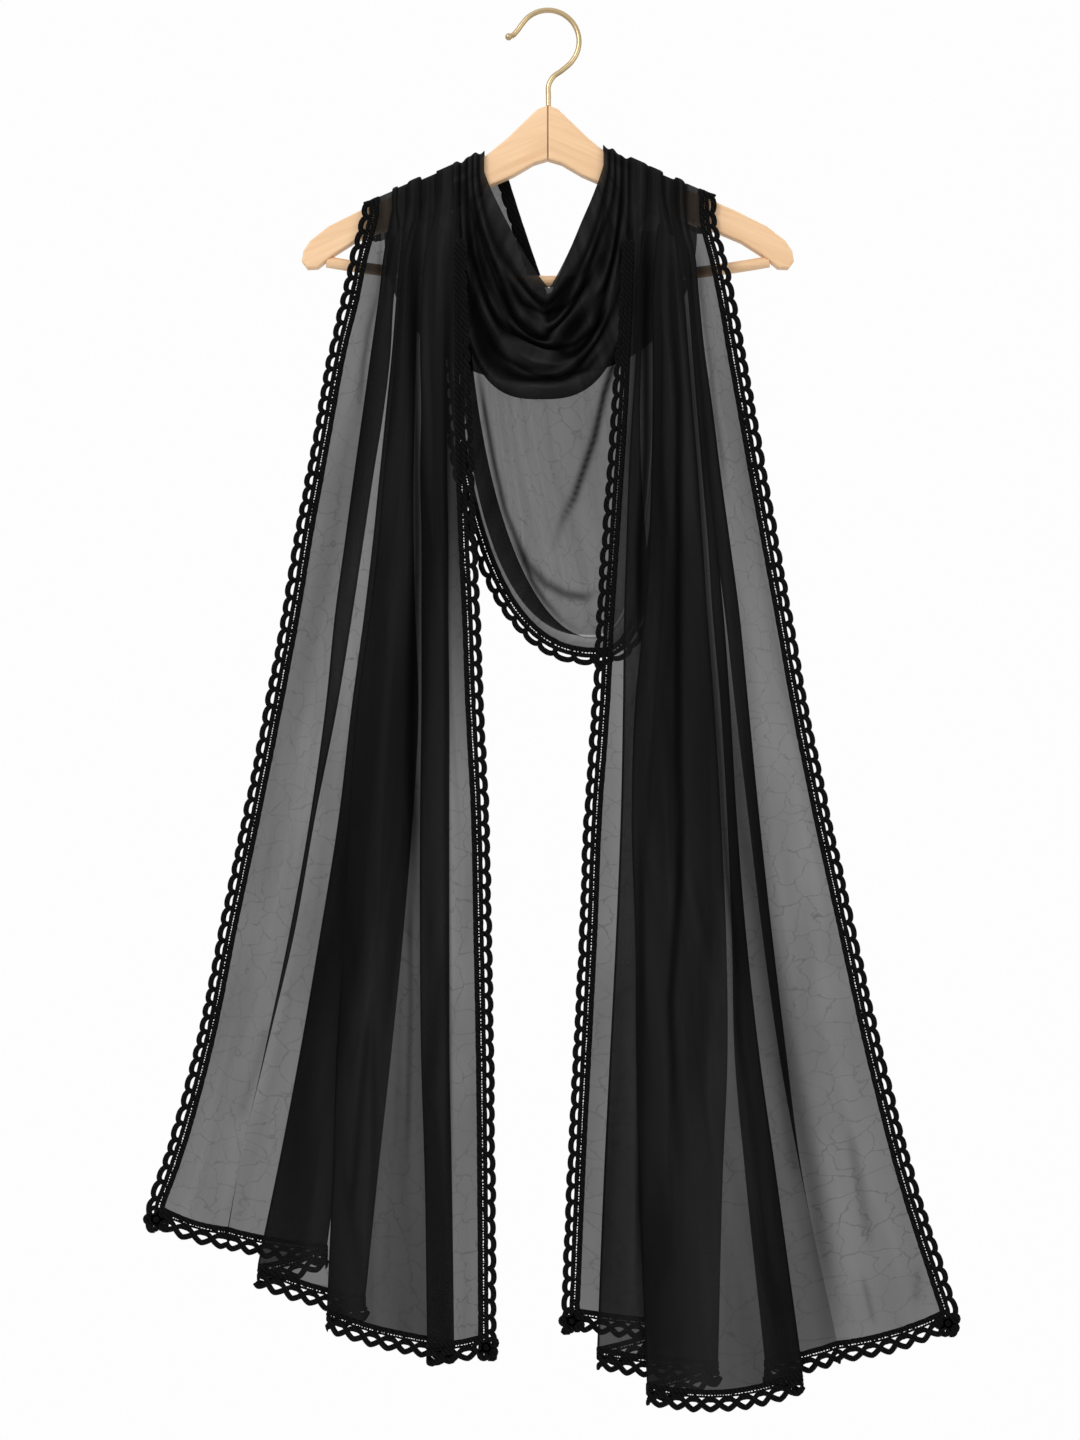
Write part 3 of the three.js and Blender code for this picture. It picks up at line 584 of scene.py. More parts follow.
@dataclass
class LaceRun:
    """A strip of crochet lace along an edge of the cloth.

    edge and outward give the edge and the way out from it at each point. fullness is how much of the
    full width it shows at its start and, from full_at of its length on, 1. lift moves it off the cloth.
    """

    name: str
    kind: LaceKind
    edge: np.ndarray
    outward: np.ndarray
    seed: int
    fullness: float = 1.0
    full_at: float = 0.2
    lift: float = 0.0

    BAND_HALF = 2.3
    BAND_OUT = 1.9
    CHAIN_OUT = 5.75
    BAR_PITCH = 1.7
    SIDE_PITCH = 13.5
    ARCH_FOOT = 7.2
    ARCH_BAND = 1.5
    ARCH_TALL = 5.3
    ARCH_YARN = 2.15
    HEM_PITCH = 14.3
    KNOT_RINGS = 6
    KNOT_SPREAD = 6.5
    KNOT_RADIUS = 3.3
    KNOT_POINTS = 12
    KNOT_YARN = 2.2
    KNOT_THICK = 1.3
    THICK = 0.85

    def __post_init__(self) -> None:
        """Measures the edge."""
        steps = np.linalg.norm(np.diff(self.edge, axis=0), axis=1)
        self.marks = np.concatenate([[0.0], np.cumsum(steps)])
        self.length = float(self.marks[-1])
        self.along = unit(np.gradient(self.edge, self.marks + 1e-6 * np.arange(len(self.marks)), axis=0))
        self.rng = np.random.default_rng(self.seed)
        self.yarns = YarnMesh()

    def read(self, table: np.ndarray, at: np.ndarray) -> np.ndarray:
        """Reads a table of vectors along the edge."""
        return np.stack([np.interp(at, self.marks, table[:, i]) for i in range(3)], axis=-1)

    def width_at(self, at: np.ndarray) -> np.ndarray:
        """How much of its full width shows at a length along the edge."""
        return mix(self.fullness, 1.0, ease(at / (self.full_at * self.length)))

    def yarn(self, at: np.ndarray, out: np.ndarray, broad: np.ndarray | float, sides: int = 6) -> None:
        """Adds a yarn.

        Args:
            at: its points as lengths along the edge.
            out: how far out from the edge each point is.
            broad: half its breadth.
            sides: how many sides its section has.
        """
        at = np.clip(np.asarray(at, float), 0.0, self.length)
        out = np.asarray(out, float) * self.width_at(at)
        tangent = unit(self.read(self.along, at))
        outward = self.read(self.outward, at)
        outward = unit(outward - (outward * tangent).sum(-1, keepdims=True) * tangent)
        face = np.cross(tangent, outward)
        run, rise = np.gradient(at), np.gradient(out)
        size = np.maximum(np.hypot(run, rise), 1e-6)
        side = tangent * (-rise / size)[:, None] + outward * (run / size)[:, None]
        path = self.read(self.edge, at) + outward * out[:, None]
        path[:, 1] += self.lift
        breadth = np.broadcast_to(np.asarray(broad, float), at.shape)
        self.yarns.add(path, side, face, breadth, self.THICK, sides, False)

    def heading(self) -> None:
        """The solid band against the cloth, the thin chain beside it and the bars between them."""
        at = np.linspace(0.0, self.length, max(8, int(self.length / 3.0)))
        self.yarn(at, self.BAND_OUT + self.rng.normal(0.0, 0.1, len(at)), self.BAND_HALF)
        self.yarn(at, self.CHAIN_OUT + self.rng.normal(0.0, 0.12, len(at)), 0.95)
        place = 0.8
        while place < self.length:
            broad = self.rng.choice([0.5, 0.8, 1.5], p=[0.4, 0.35, 0.25])
            self.yarn(np.full(2, place) + (0.0, 0.15), (self.BAND_OUT + 1.6, self.CHAIN_OUT), broad, sides=4)
            place += self.BAR_PITCH * self.rng.uniform(0.75, 1.35) + broad

    def rings(self) -> None:
        """Side lace: one open scallop after another, each an arch of thick yarn on a band."""
        at = np.linspace(0.0, self.length, max(8, int(self.length / 3.0)))
        self.yarn(at, self.ARCH_FOOT + self.rng.normal(0.0, 0.15, len(at)), self.ARCH_BAND)
        turns = np.linspace(0.0, math.pi, 13)
        place = 0.0
        while place < self.length - 0.4 * self.SIDE_PITCH:
            pitch = self.SIDE_PITCH * self.rng.uniform(0.87, 1.13)
            tall = self.ARCH_TALL * self.rng.uniform(0.92, 1.08)
            skew = self.rng.uniform(0.2, 1.5)
            across, up = np.cos(turns), np.sin(turns)
            at = place + pitch / 2 * (1.0 - np.sign(across) * np.abs(across) ** 0.85) + skew * up
            self.yarn(at, self.ARCH_FOOT + 0.8 + tall * up**0.8, self.ARCH_YARN + 0.35 * up)
            place += pitch

    def scallops(self) -> None:
        """Hem lace: a row of arches, and pointed scallops under them."""
        share = np.linspace(-1.0, 1.0, 13)
        place = 0.0
        while place < self.length - 0.4 * self.HEM_PITCH:
            pitch = self.HEM_PITCH * self.rng.uniform(0.9, 1.1)
            at = place + pitch / 2 * (1.0 + share)
            arch = 8.0 + 3.6 * np.abs(share) ** 2.2
            self.yarn(at, arch, 2.0 + 0.7 * (1.0 - np.abs(share)) ** 1.2)
            depth = self.rng.uniform(4.7, 5.6)
            self.yarn(at, 11.9 + depth * (1.0 - np.abs(share) ** 1.4), 2.5)
            place += pitch

    def knot(self, corner: np.ndarray, turned: float) -> None:
        """Adds a cluster of small rings where two laces meet, in the plane of the front.

        Args:
            corner: its middle.
            turned: how far the first ring is turned, in radians.
        """
        turns = 2.0 * math.pi * np.arange(self.KNOT_POINTS) / self.KNOT_POINTS
        for i in range(self.KNOT_RINGS):
            angle = turned + i * 2.0 * math.pi / (self.KNOT_RINGS - 1)
            away = 0.0 if i == 0 else self.KNOT_SPREAD
            centre = corner + np.array([math.cos(angle), 0.0, math.sin(angle)]) * away
            radial = np.stack([np.cos(turns), np.zeros(self.KNOT_POINTS), np.sin(turns)], axis=-1)
            face = np.broadcast_to(np.array([0.0, 1.0, 0.0]), radial.shape)
            size = self.KNOT_RADIUS * self.rng.uniform(0.85, 1.15)
            broad = np.full(self.KNOT_POINTS, self.KNOT_YARN)
            self.yarns.add(centre + radial * size, radial, face, broad, self.KNOT_THICK, 6, True)

    def build(self, material: bpy.types.Material) -> bpy.types.Object:
        """Makes the strip.

        Args:
            material: the yarn's finish.

        Returns:
            The object, in the scene.
        """
        self.heading()
        if self.kind is LaceKind.SIDE:
            self.rings()
        else:
            self.scallops()
        return self.yarns.build(self.name, material)


def way_out(edge: np.ndarray, inside: np.ndarray) -> np.ndarray:
    """The way out from a sheet's edge, square to it.

    Args:
        edge: the edge's points.
        inside: the next line of points inside it.

    Returns:
        A vector of length 1 for each point.
    """
    along = unit(np.gradient(edge, axis=0))
    away = edge - inside
    return unit(away - (away * along).sum(-1, keepdims=True) * along)


# ---- Tails --------------------------------------------------------------------------------------


@dataclass(frozen=True)
class FoldLine:
    """One fold line of a tail, across the cloth.

    arm_x: on the arm. layer: how many layers in front of the rearmost one the panel after it lies.
    hem_x, hem_z: its end at the hem. cover: how much light the panel after it stops. sag: how far that
    panel's hem bows down. x: where it is at each of FOLD_HEIGHTS. opens: the height from which the panel
    after it opens out flat towards the hem. upper: what it stops above denser_to, where it has one.
    """

    name: str
    arm_x: float
    layer: int
    hem_x: float
    hem_z: float
    cover: float
    sag: float
    x: tuple[float, ...]
    opens: float = NEVER
    upper: float = THIN
    denser_to: float = 0.0

    def cover_at(self, z: np.ndarray) -> np.ndarray:
        """How much light the panel after it stops at a height."""
        closed = mix(max(self.upper, self.cover), self.cover, ease((self.denser_to - z) / DENSER_FADE))
        return closed * self.flatness(z)

    def flatness(self, z: np.ndarray) -> np.ndarray:
        """1 where its pleat is pressed, and nearly 0 where it has opened out flat."""
        return 1.0 - OPENED * ease((self.opens - z) / OPENING)


@dataclass
class Tail:
    """One end of the stole, in knife pleats, over an arm of the hanger."""

    side: Side
    lines: tuple[FoldLine, ...]
    front: float
    creases: tuple[Crease, ...]
    flat: tuple[float, float]
    rows: int = 170
    crowding: float = 1.15
    panel_step: float = 2.0
    turn_steps: int = 5
    wave: float = 1.6
    # trough_cover and trough_shade: how much the waves' troughs close the weave and take painted shade.
    trough_cover: float = 0.1
    trough_shade: float = 0.24
    inner_lace_after: int = 14
    inner_fullness: float = 0.55
    outer_fullness: float = 0.9

    def lines_at(self, shares: np.ndarray) -> tuple[np.ndarray, np.ndarray, np.ndarray]:
        """Where every fold line is.

        Args:
            shares: shares of the way down.

        Returns:
            x, z and depth, each (lines, shares).
        """
        xs, zs, depths = [], [], []
        for k, line in enumerate(self.lines):
            top = arm_top(line.arm_x) - ROLL_FRONT_DROP
            z = mix(top, line.hem_z, shares)
            knots = (arm_top(line.arm_x), *FOLD_HEIGHTS, line.hem_z)
            xs.append(smooth_table(z, knots, (line.arm_x, *line.x, line.hem_x)))
            zs.append(z)
            opened = ease((top - z) / PLEAT_START)
            swell = roll_swell(line.arm_x)
            hung = self.front + self.layer_at(k, z) * LAYER_PITCH
            depths.append(mix(ROLL_HALF_DEPTH + swell, hung, opened))
        return np.array(xs), np.array(zs), np.array(depths)

    def layer_at(self, k: int, z: np.ndarray) -> np.ndarray:
        """How many layers forward panel k lies; panels beside a pleat that opens out come level with it."""
        layer = np.full(z.shape, float(self.lines[k].layer))
        for near in self.lines[max(0, k - 1):k + 2]:
            layer = mix(near.layer, layer, ease((near.flatness(z) - (1.0 - OPENED)) / OPENED))
        return layer

    def pressed(self, k: int, z: np.ndarray) -> np.ndarray:
        """1 where fold line k is a pressed turn, and nearly 0 where its pleat has opened out."""
        return np.minimum(self.lines[k - 1].flatness(z), self.lines[k].flatness(z))

    def drop(self) -> ClothGrid:
        """The part that hangs: panels, and the round turns between them."""
        shares = np.linspace(0.0, 1.0, self.rows) ** self.crowding
        xs, zs, depths = self.lines_at(shares)
        last = len(self.lines) - 1
        columns, covers, shades = [], [], []

        def turn_share(width: np.ndarray) -> np.ndarray:
            """How much of a panel its turn takes."""
            return np.clip(TURN_SHARE * width, -PLEAT_TURN, PLEAT_TURN)

        for k in range(last):
            line = self.lines[k]
            width = xs[k + 1] - xs[k]
            start = xs[k] + (0.0 if k == 0 else turn_share(width) * self.pressed(k, zs[k]))
            end = xs[k + 1] - (0.0 if k == last - 1 else turn_share(width) * self.pressed(k + 1, zs[k + 1]))
            steps = max(4, math.ceil(np.abs(width).max() / self.panel_step))
            for share in np.linspace(0.0, 1.0, steps + 1):
                belly = 4.0 * share * (1.0 - share)
                z = mix(zs[k], zs[k + 1], share) - line.sag * belly * shares**6
                y = -depths[k] - 0.8 * belly * ease(shares * 4.0)
                columns.append(np.stack([mix(start, end, share), y, z], axis=-1))
                covers.append(line.cover_at(z))
                # Painted shade: each panel is lighter across its middle and darker towards its folds.
                shades.append(np.full(self.rows, 0.8 + 0.4 * belly))
            if k + 1 == last:
                break
            open_share = self.pressed(k + 1, zs[k + 1])
            after = turn_share(xs[k + 2] - xs[k + 1]) * open_share
            leave, meet = end, xs[k + 1] + after
            bulge = xs[k + 1] - (leave + meet) / 2.0
            for i in range(1, self.turn_steps + 1):
                angle = math.pi * i / (self.turn_steps + 1)
                over = (1.0 - math.cos(angle)) / 2.0
                x = mix(leave, meet, over) + bulge * math.sin(angle)
                y = -mix(depths[k], depths[k + 1], over)
                columns.append(np.stack([x, y, zs[k + 1]], axis=-1))
                covers.append(mix(THIN, TURNED, open_share))
                # Painted shade along each pressed turn, fading where the pleat opens out.
                shades.append(mix(1.0, 0.5, open_share))
        return ClothGrid(np.stack(columns, axis=1), np.stack(covers, axis=1), np.stack(shades, axis=1))

    def over_arm(self, first: np.ndarray) -> np.ndarray:
        """The rows from the back flap over the arm, down to just above the drop.

        Args:
            first: the drop's first row.

        Returns:
            Points, (rows, columns, 3).
        """
        x = first[:, 0]
        reach = -first[:, 1]
        top = arm_top(x)
        rows = []
        for share in np.linspace(0.0, 1.0, 5)[:-1]:
            y = reach + ROLL_FLAP_LEAN * (1.0 - share)
            rows.append(np.stack([x, y, top - mix(ROLL_BACK_DROP, ROLL_FRONT_DROP, share)], axis=-1))
        for share in np.linspace(0.0, 1.0, 3)[:-1]:
            rows.append(np.stack([x, reach, top - mix(ROLL_FRONT_DROP, ROLL_START, share)], axis=-1))
        for turn in np.linspace(0.0, math.pi, 13):
            rise = ROLL_RISE + reach - ROLL_HALF_DEPTH
            rows.append(np.stack([x, math.cos(turn) * reach,
                                  top - ROLL_START + math.sin(turn) * rise], axis=-1))
        rows.append(np.stack([x, -reach, top - mix(ROLL_START, ROLL_FRONT_DROP, 0.5)], axis=-1))
        return np.stack(rows)

    def waves(self, points: np.ndarray) -> np.ndarray:
        """Soft uneven troughs that all the layers share.

        Args:
            points: the sheet's points.

        Returns:
            Positive where they lie back.
        """
        x, z = points[..., 0], points[..., 2]
        fall = ease((-z - 190.0) / 220.0)
        spread = (np.abs(x) - 60.0) / mix(80.0, 250.0, ease((-z - 190.0) / 900.0))
        shift = (np.sin(9.0 * spread + 0.004 * z) + 0.6 * np.sin(17.0 * spread - 0.0027 * z + 1.3)
                 + 0.4 * np.sin(0.011 * z + 5.0 * spread))
        return fall * shift

    def gathers(self, points: np.ndarray) -> np.ndarray:
        """How closely the cloth is gathered near the arm.

        Args:
            points: the sheet's points.

        Returns:
            1 where it is gathered, and 0 where it is flat, as it is near the outer edge.
        """
        x, z = np.abs(points[..., 0]), points[..., 2]
        outer = max(abs(self.lines[0].arm_x), abs(self.lines[-1].arm_x))
        below = ease((arm_top(x) - z - 35.0) / 90.0)
        return (1.0 - below) * ease((outer - x - 6.0) / 14.0)

    def grid(self) -> ClothGrid:
        """The whole tail as one sheet."""
        drop = self.drop()
        roll = self.over_arm(drop.points[0])
        points = np.concatenate([roll, drop.points])
        trough = self.waves(points)
        points[..., 1] += trough * self.wave
        cover = np.concatenate([np.broadcast_to(drop.cover[0], roll.shape[:2]), drop.cover])
        cover = mix(cover + self.trough_cover * trough * (1.0 - cover), GATHERED, self.gathers(points))
        shade = np.concatenate([np.broadcast_to(drop.shade[0], roll.shape[:2]), drop.shade])
        # Painted shade in the waves' troughs, and painted highlight on their crests.
        shade = shade * (1.0 - self.trough_shade * trough)
        return ClothGrid(points, cover, shade).creased(self.creases)

    def build(self, cloth: bpy.types.Material, yarn: bpy.types.Material) -> None:
        """Makes the tail and its lace.

        Args:
            cloth: the chiffon's finish.
            yarn: the lace's finish.
        """
        grid = self.grid()
        name = self.side.value
        sheet = grid.build(f"tail_{name}_cloth", cloth)
        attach(sheet, BODY)
        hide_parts(f"tail_{name}")
        points = grid.points
        first_inner = len(points) - self.rows + self.inner_lace_after
        outer, inner = (0, -1) if self.side is Side.LEFT else (-1, 0)
        laces = []
        for label, column, start in (("outer", outer, 0), ("inner", inner, first_inner)):
            edge = points[start:, column]
            beside = points[start:, 1 if column == 0 else -2]
            out = way_out(edge, beside)
            past = np.stack([edge[-1] + (0.0, 0.0, -5.0 * i) for i in range(1, 5)])
            edge = np.concatenate([edge, past])
            out = np.concatenate([out, np.repeat(out[-1:], len(past), axis=0)])
            full = self.inner_fullness if label == "inner" else self.outer_fullness
            run = LaceRun(f"lace_{name}_{label}_yarn", LaceKind.SIDE, edge, out,
                          seed=11 if label == "inner" else 12, fullness=full)
            laces.append((run.build(yarn), f"lace_{name}_{label}"))
        hem = points[-1]
        down = np.broadcast_to(np.array([0.0, 0.0, -1.0]), hem.shape).copy()
        run = LaceRun(f"lace_{name}_hem_yarn", LaceKind.HEM, hem, down, seed=13)
        for corner, aside in ((hem[0], -1.0), (hem[-1], 1.0)):
            run.knot(corner + (6.5 * aside, 0.0, -10.0), 0.6 * aside)
        laces.append((run.build(yarn), f"lace_{name}_hem"))
        for lace, node in laces:
            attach(lace, BODY)
            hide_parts(node)
        LOG.info("tail %s: %.3f m2 of cloth, %d laces", name, grid.area(), len(laces))


# name, arm_x, layer, hem_x, hem_z, cover, sag, then x at each of FOLD_HEIGHTS
LEFT_LINES = (
    FoldLine("outer edge", -143, 0, -331, -1035, THIN, 3.0,
             (-148, -156, -163, -175, -184, -193, -204, -214, -229, -249, -270, -290, -318)),
    FoldLine("narrow pleat right", -134, 1, -275, -1052, THIN, 0.0,
             (-128, -129, -133, -136, -142, -150, -159, -168, -181, -201, -219, -243, -266), opens=-820.0),
    FoldLine("narrow pleat left", -132, 2, -276, -1052, THIN, 2.0,
             (-137, -142, -146, -153, -160, -167, -175, -183, -191, -205, -223, -244, -266)),
    FoldLine("first tuck right", -121, 3, -190, -1067, THIN, 2.0,
             (-119, -114, -115, -117, -119, -120, -122, -123, -126, -131, -145, -164, -181)),
    FoldLine("first tuck left", -119, 4, -249, -1082, THIN, 3.0,
             (-124, -127, -130, -134, -139, -144, -150, -157, -168, -180, -196, -213, -232)),
    FoldLine("second tuck right", -110, 5, -156, -1108, THIN, 1.0,
             (-110, -109, -111, -113, -114, -115, -115, -114, -111, -116, -124, -134, -145)),
    FoldLine("second tuck left", -108, 6, -189, -1118, CLOSE, 3.0,
             (-117, -123, -127, -131, -135, -140, -145, -152, -163, -171, -175, -181, -184)),
    FoldLine("third tuck right", -97, 7, -80, -1144, THIN, 1.0,
             (-93, -89, -88, -87, -86, -86, -85, -85, -84, -84, -84, -84, -82)),
    FoldLine("third tuck left", -95, 8, -103, -1145, 0.855, 1.0,
             (-99, -105, -108, -109, -108, -109, -108, -108, -108, -109, -109, -108, -105), upper=0.98,
             denser_to=-430.0),
    FoldLine("inner edge", -78, 8, -59, -1138, THIN, 0.0,
             (-79, -79, -79, -79, -79, -78, -76, -73, -70, -65, -63, -61, -60)),
)

RIGHT_LINES = (
    FoldLine("inner edge", 73, 0, 27, -1120, 0.83, 1.0,
             (73, 73, 72, 70, 68, 65, 61, 57, 53, 46, 42, 37, 32)),
    FoldLine("first tuck right", 87, 1, 114, -1129, 0.5, 2.0,
             (85, 83, 81, 80, 79, 80, 84, 89, 101, 107, 107, 104, 106)),
    FoldLine("first tuck left", 89, 2, 42, -1151, THIN, 2.0,
             (84, 80, 77, 75, 72, 69, 67, 65, 64, 62, 58, 53, 48)),
    FoldLine("second tuck right", 97, 3, 145, -1161, THIN, 2.0,
             (105, 111, 116, 120, 124, 128, 132, 136, 142, 148, 152, 153, 149)),
    FoldLine("second tuck left", 99, 4, 84, -1179, CLOSE, 9.0,
             (95, 91, 88, 89, 89, 88, 86, 82, 74, 71, 74, 75, 77)),
    FoldLine("third tuck right", 109, 3, 217, -1169, THIN, 1.0,
             (113, 119, 122, 127, 132, 137, 143, 149, 155, 161, 169, 180, 194)),
    FoldLine("third tuck left", 111, 2, 185, -1161, 0.905, 2.0,
             (112, 115, 119, 123, 127, 131, 136, 140, 147, 153, 157, 159, 168)),
    FoldLine("narrow pleat right", 118, 1, 247, -1146, THIN, 0.0,
             (120, 126, 129, 134, 141, 147, 155, 163, 171, 181, 192, 204, 217), opens=-860.0),
    FoldLine("narrow pleat left", 120, 0, 247, -1146, THIN, 4.0,
             (119, 120, 121, 125, 130, 135, 143, 151, 160, 172, 184, 198, 216)),
    FoldLine("outer edge", 131, 0, 335, -1120, THIN, 0.0,
             (132, 138, 145, 154, 163, 172, 183, 194, 208, 228, 250, 272, 297)),
)

# (x, z) along the crease, width, depth, closes, darkens
# darkens paints shade along each crease, and a highlight where it is below 0.
LEFT_CREASES = (
    Crease(((-113, -170), (-113, -280), (-112, -469), (-114, -555), (-116, -649), (-115, -700), (-116, -760),
            (-118, -800)), 5.0, 4.0, 0.95, 0.85),
    Crease(((-88, -170), (-86, -280), (-86, -426), (-86, -683), (-84, -940),
            (-83, -1100)), 2.4, 3.0, 0.8, 0.6),
    Crease(((-118, -752), (-117, -855), (-119, -940), (-120, -1000)), 2.5, 2.0, 0.5, 0.4),
    Crease(((-151, -855), (-156, -906), (-161, -958), (-165, -1009), (-170, -1047)), 3.0, 2.0, 0.35, 0.4),
    Crease(((-144, -196), (-146, -243), (-155, -277), (-160, -312), (-164, -356)), 2.6, 2.0, 0.45, 0.3),
    Crease(((-240, -874), (-250, -909), (-260, -939), (-268, -966)), 5.0, 1.5, 0.25, 0.2),
    # This one paints a highlight along a ridge.
    Crease(((-98, -168), (-101, -260), (-99, -420), (-98, -640)), 5.0, -3.0, 0.0, -0.25),
)

# darkens paints shade along each crease.
RIGHT_CREASES = (
    Crease(((88, -165), (84, -280), (84, -383), (82, -426), (79, -469), (79, -512),
            (80, -560)), 4.2, 4.0, 0.9, 0.8),
    Crease(((101, -170), (107, -280), (111, -341), (111, -649), (113, -700), (112, -752), (104, -855),
            (106, -906), (105, -958), (104, -1010)), 3.4, 4.0, 0.85, 0.7),
    Crease(((112, -180), (119, -280), (124, -341), (130, -426), (136, -512), (142, -598), (146, -649),
            (149, -700), (153, -752), (159, -803), (161, -855), (163, -906),
            (165, -960)), 3.4, 3.0, 0.8, 0.6),
    Crease(((79, -680), (79, -880), (79, -1060), (79, -1120)), 3.0, 2.0, 0.4, 0.4),
    Crease(((123, -198), (129, -222), (131, -246), (135, -280), (140, -315), (142, -341), (148, -383),
            (153, -426)), 2.6, 2.0, 0.45, 0.3),
    Crease(((150, -500), (166, -700), (194, -850), (214, -950), (229, -1030),
            (250, -1190)), 11.0, 0.0, 0.6, 0.0),
    Crease(((197, -889), (207, -973), (212, -1009)), 6.0, 1.5, 0.3, 0.2),
    Crease(((257, -961), (267, -1017), (276, -1069)), 5.0, 1.5, 0.3, 0.2),
    Crease(((269, -1090), (279, -1132)), 2.5, 1.5, 0.3, 0.2),
    Crease(((317, -1082), (314, -1112)), 2.5, 1.5, 0.3, 0.2),
)


# ---- Swags --------------------------------------------------------------------------------------


class Column(IntEnum):
    """The columns of a swag's rows, in the order of SwagFold's sizes."""

    LEFT_X = 0
    LOW_X = 1
    LOW_Z = 2
    RIGHT_X = 3
    LEFT_BOW = 4
    RIGHT_BOW = 5
    REACH = 6
    END_REACH = 7
    COVER = 8
    # painted shade, or painted highlight above 1
    SHADE = 9


ENDS = (Column.LEFT_X, Column.RIGHT_X)


@dataclass(frozen=True)
class SwagFold:
    """One line of a swag, from an arm down to its lowest point and up to the other arm.

    left_x, right_x: its ends. low_x, low_z: its lowest point. left_bow, right_bow: 1 is straight, 2 is a
    quarter ellipse, more is squarer. reach: how far forward its lowest point stands. end_reach: how far
    forward its ends stand. cover: how much light it stops. shade: its painted shade, below 1, or painted
    highlight, above 1.
    """

    name: str
    left_x: float
    low_x: float
    low_z: float
    right_x: float
    left_bow: float
    right_bow: float
    reach: float
    end_reach: float
    cover: float
    shade: float

    def numbers(self) -> tuple[float, ...]:
        """Its sizes in order."""
        return (self.left_x, self.low_x, self.low_z, self.right_x, self.left_bow, self.right_bow,
                self.reach, self.end_reach, self.cover, self.shade)


@dataclass
class Swag:
    """A stretch of the stole that hangs in a bow between the two arms."""

    folds: tuple[SwagFold, ...]
    left_soon: float = 0.0
    right_soon: float = 0.0
    lateness: float = 0.0
    between: int = 12
    steps: int = 100
    smooth: bool = True
    drift: float = 0.0

    def rows(self) -> np.ndarray:
        """The folds' sizes with finer rows between them."""
        table = np.array([fold.numbers() for fold in self.folds])
        knots = np.arange(len(table), dtype=float)
        at = np.linspace(0.0, len(table) - 1.0, (len(table) - 1) * self.between + 1)
        if self.smooth:
            return smooth_table(at, knots, table)
        return np.stack([np.interp(at, knots, table[:, i]) for i in range(table.shape[1])], axis=-1)

    def late(self, out: np.ndarray) -> np.ndarray:
        """The share of its way along Y that a line has gone, from how far out it is."""
        return (1.0 - out) ** self.lateness if self.lateness else 1.0 - out**2

    def branch(self, end: np.ndarray, low: np.ndarray, bow: np.ndarray, soon: float) -> np.ndarray:
        """Half a line, from an arm to the lowest point, for every row at once.

        Args:
            end: where each row leaves the arm, (rows, 3).
            low: each row's lowest point, (rows, 3).
            bow: each row's bow.
            soon: how far along Y it moves at once.

        Returns:
            Points, (rows, steps + 1, 3).
        """
        angle = np.linspace(0.0, math.pi / 2, self.steps + 1)[None, :]
        power = 2.0 / bow[:, None]
        out = np.clip(np.cos(angle), 0.0, 1.0) ** power
        down = np.sin(angle) ** power
        z = mix(end[:, 2:3], low[:, 2:3], down)
        early = soon * ease((end[:, 2:3] - z) / SWAG_SOON_DROP)
        later = (low[:, 1:2] - end[:, 1:2] - soon) * self.late(out)
        return np.stack([mix(low[:, 0:1], end[:, 0:1], out), end[:, 1:2] + early + later, z], axis=-1)

    def hang(self, table: np.ndarray, left_end: np.ndarray, right_end: np.ndarray) -> np.ndarray:
        """Every row's whole line.

        Args:
            table: the swag's rows.
            left_end: each row's left end.
            right_end: each row's right end.

        Returns:
            Points, (rows, columns, 3).
        """
        low = np.stack([table[:, Column.LOW_X], -table[:, Column.REACH], table[:, Column.LOW_Z]], axis=-1)
        left = self.branch(left_end, low, table[:, Column.LEFT_BOW], self.left_soon)
        right = self.branch(right_end, low, table[:, Column.RIGHT_BOW], self.right_soon)
        return np.concatenate([left, right[:, -2::-1]], axis=1)

    def wander(self, points: np.ndarray) -> np.ndarray:
        """Lets the rolls drift up and down along the line.

        Args:
            points: the swag's points.

        Returns:
            The row that each point reads its reach, cover and painted shade from.
        """
        rows, columns = points.shape[:2]
        at = np.arange(rows, dtype=float)[:, None]
        along = np.linspace(0.0, 1.0, columns)[None, :]
        inside = np.sin(math.pi * at / (rows - 1))
        slow = np.sin(2 * math.pi * (1.7 * along + 0.021 * at))
        quick = np.sin(2 * math.pi * (3.1 * along - 0.03 * at))
        shift = self.drift * self.between * inside * np.sin(math.pi * along) * (slow + 0.5 * quick)
        return np.clip(at + shift, 0, rows - 1)

    def fields(self, table: np.ndarray, points: np.ndarray) -> tuple[np.ndarray, np.ndarray, np.ndarray]:
        """The swag with its rolls adrift.

        Args:
            table: the swag's rows.
            points: its points.

        Returns:
            Extra reach, cover and painted shade at each point.
        """
        source = self.wander(points)
        knots = np.arange(len(table), dtype=float)
        moved = [np.interp(source, knots, table[:, i]) for i in (Column.REACH, Column.COVER, Column.SHADE)]
        own = table[:, [Column.REACH]]
        along = np.linspace(0.0, 1.0, points.shape[1])[None, :]
        return (moved[0] - own) * np.sin(math.pi * along), moved[1], moved[2]


def over_arm_rows(x: np.ndarray, reach: np.ndarray, rise: np.ndarray) -> np.ndarray:
    """Rows of points from the back flap over an arm to the front.

    Args:
        x: where each row is on the arm.
        reach: how far each stands from the arm's middle.
        rise: how high each rises over the arm.

    Returns:
        Points, (rows, steps, 3).
    """
    top = arm_top(x)
    steps = []
    for share in np.linspace(0.0, 1.0, 5)[:-1]:
        steps.append(np.stack([x, reach + ROLL_FLAP_LEAN * (1 - share),
                               top - mix(ROLL_BACK_DROP, ROLL_START, share)], axis=-1))
    for turn in np.linspace(0.0, math.pi, 13):
        steps.append(np.stack([x, math.cos(turn) * reach, top - ROLL_START + math.sin(turn) * rise], axis=-1))
    steps.append(np.stack([x, -reach, top - mix(ROLL_START, ROLL_FRONT_DROP, 0.5)], axis=-1))
    return np.stack(steps, axis=1)


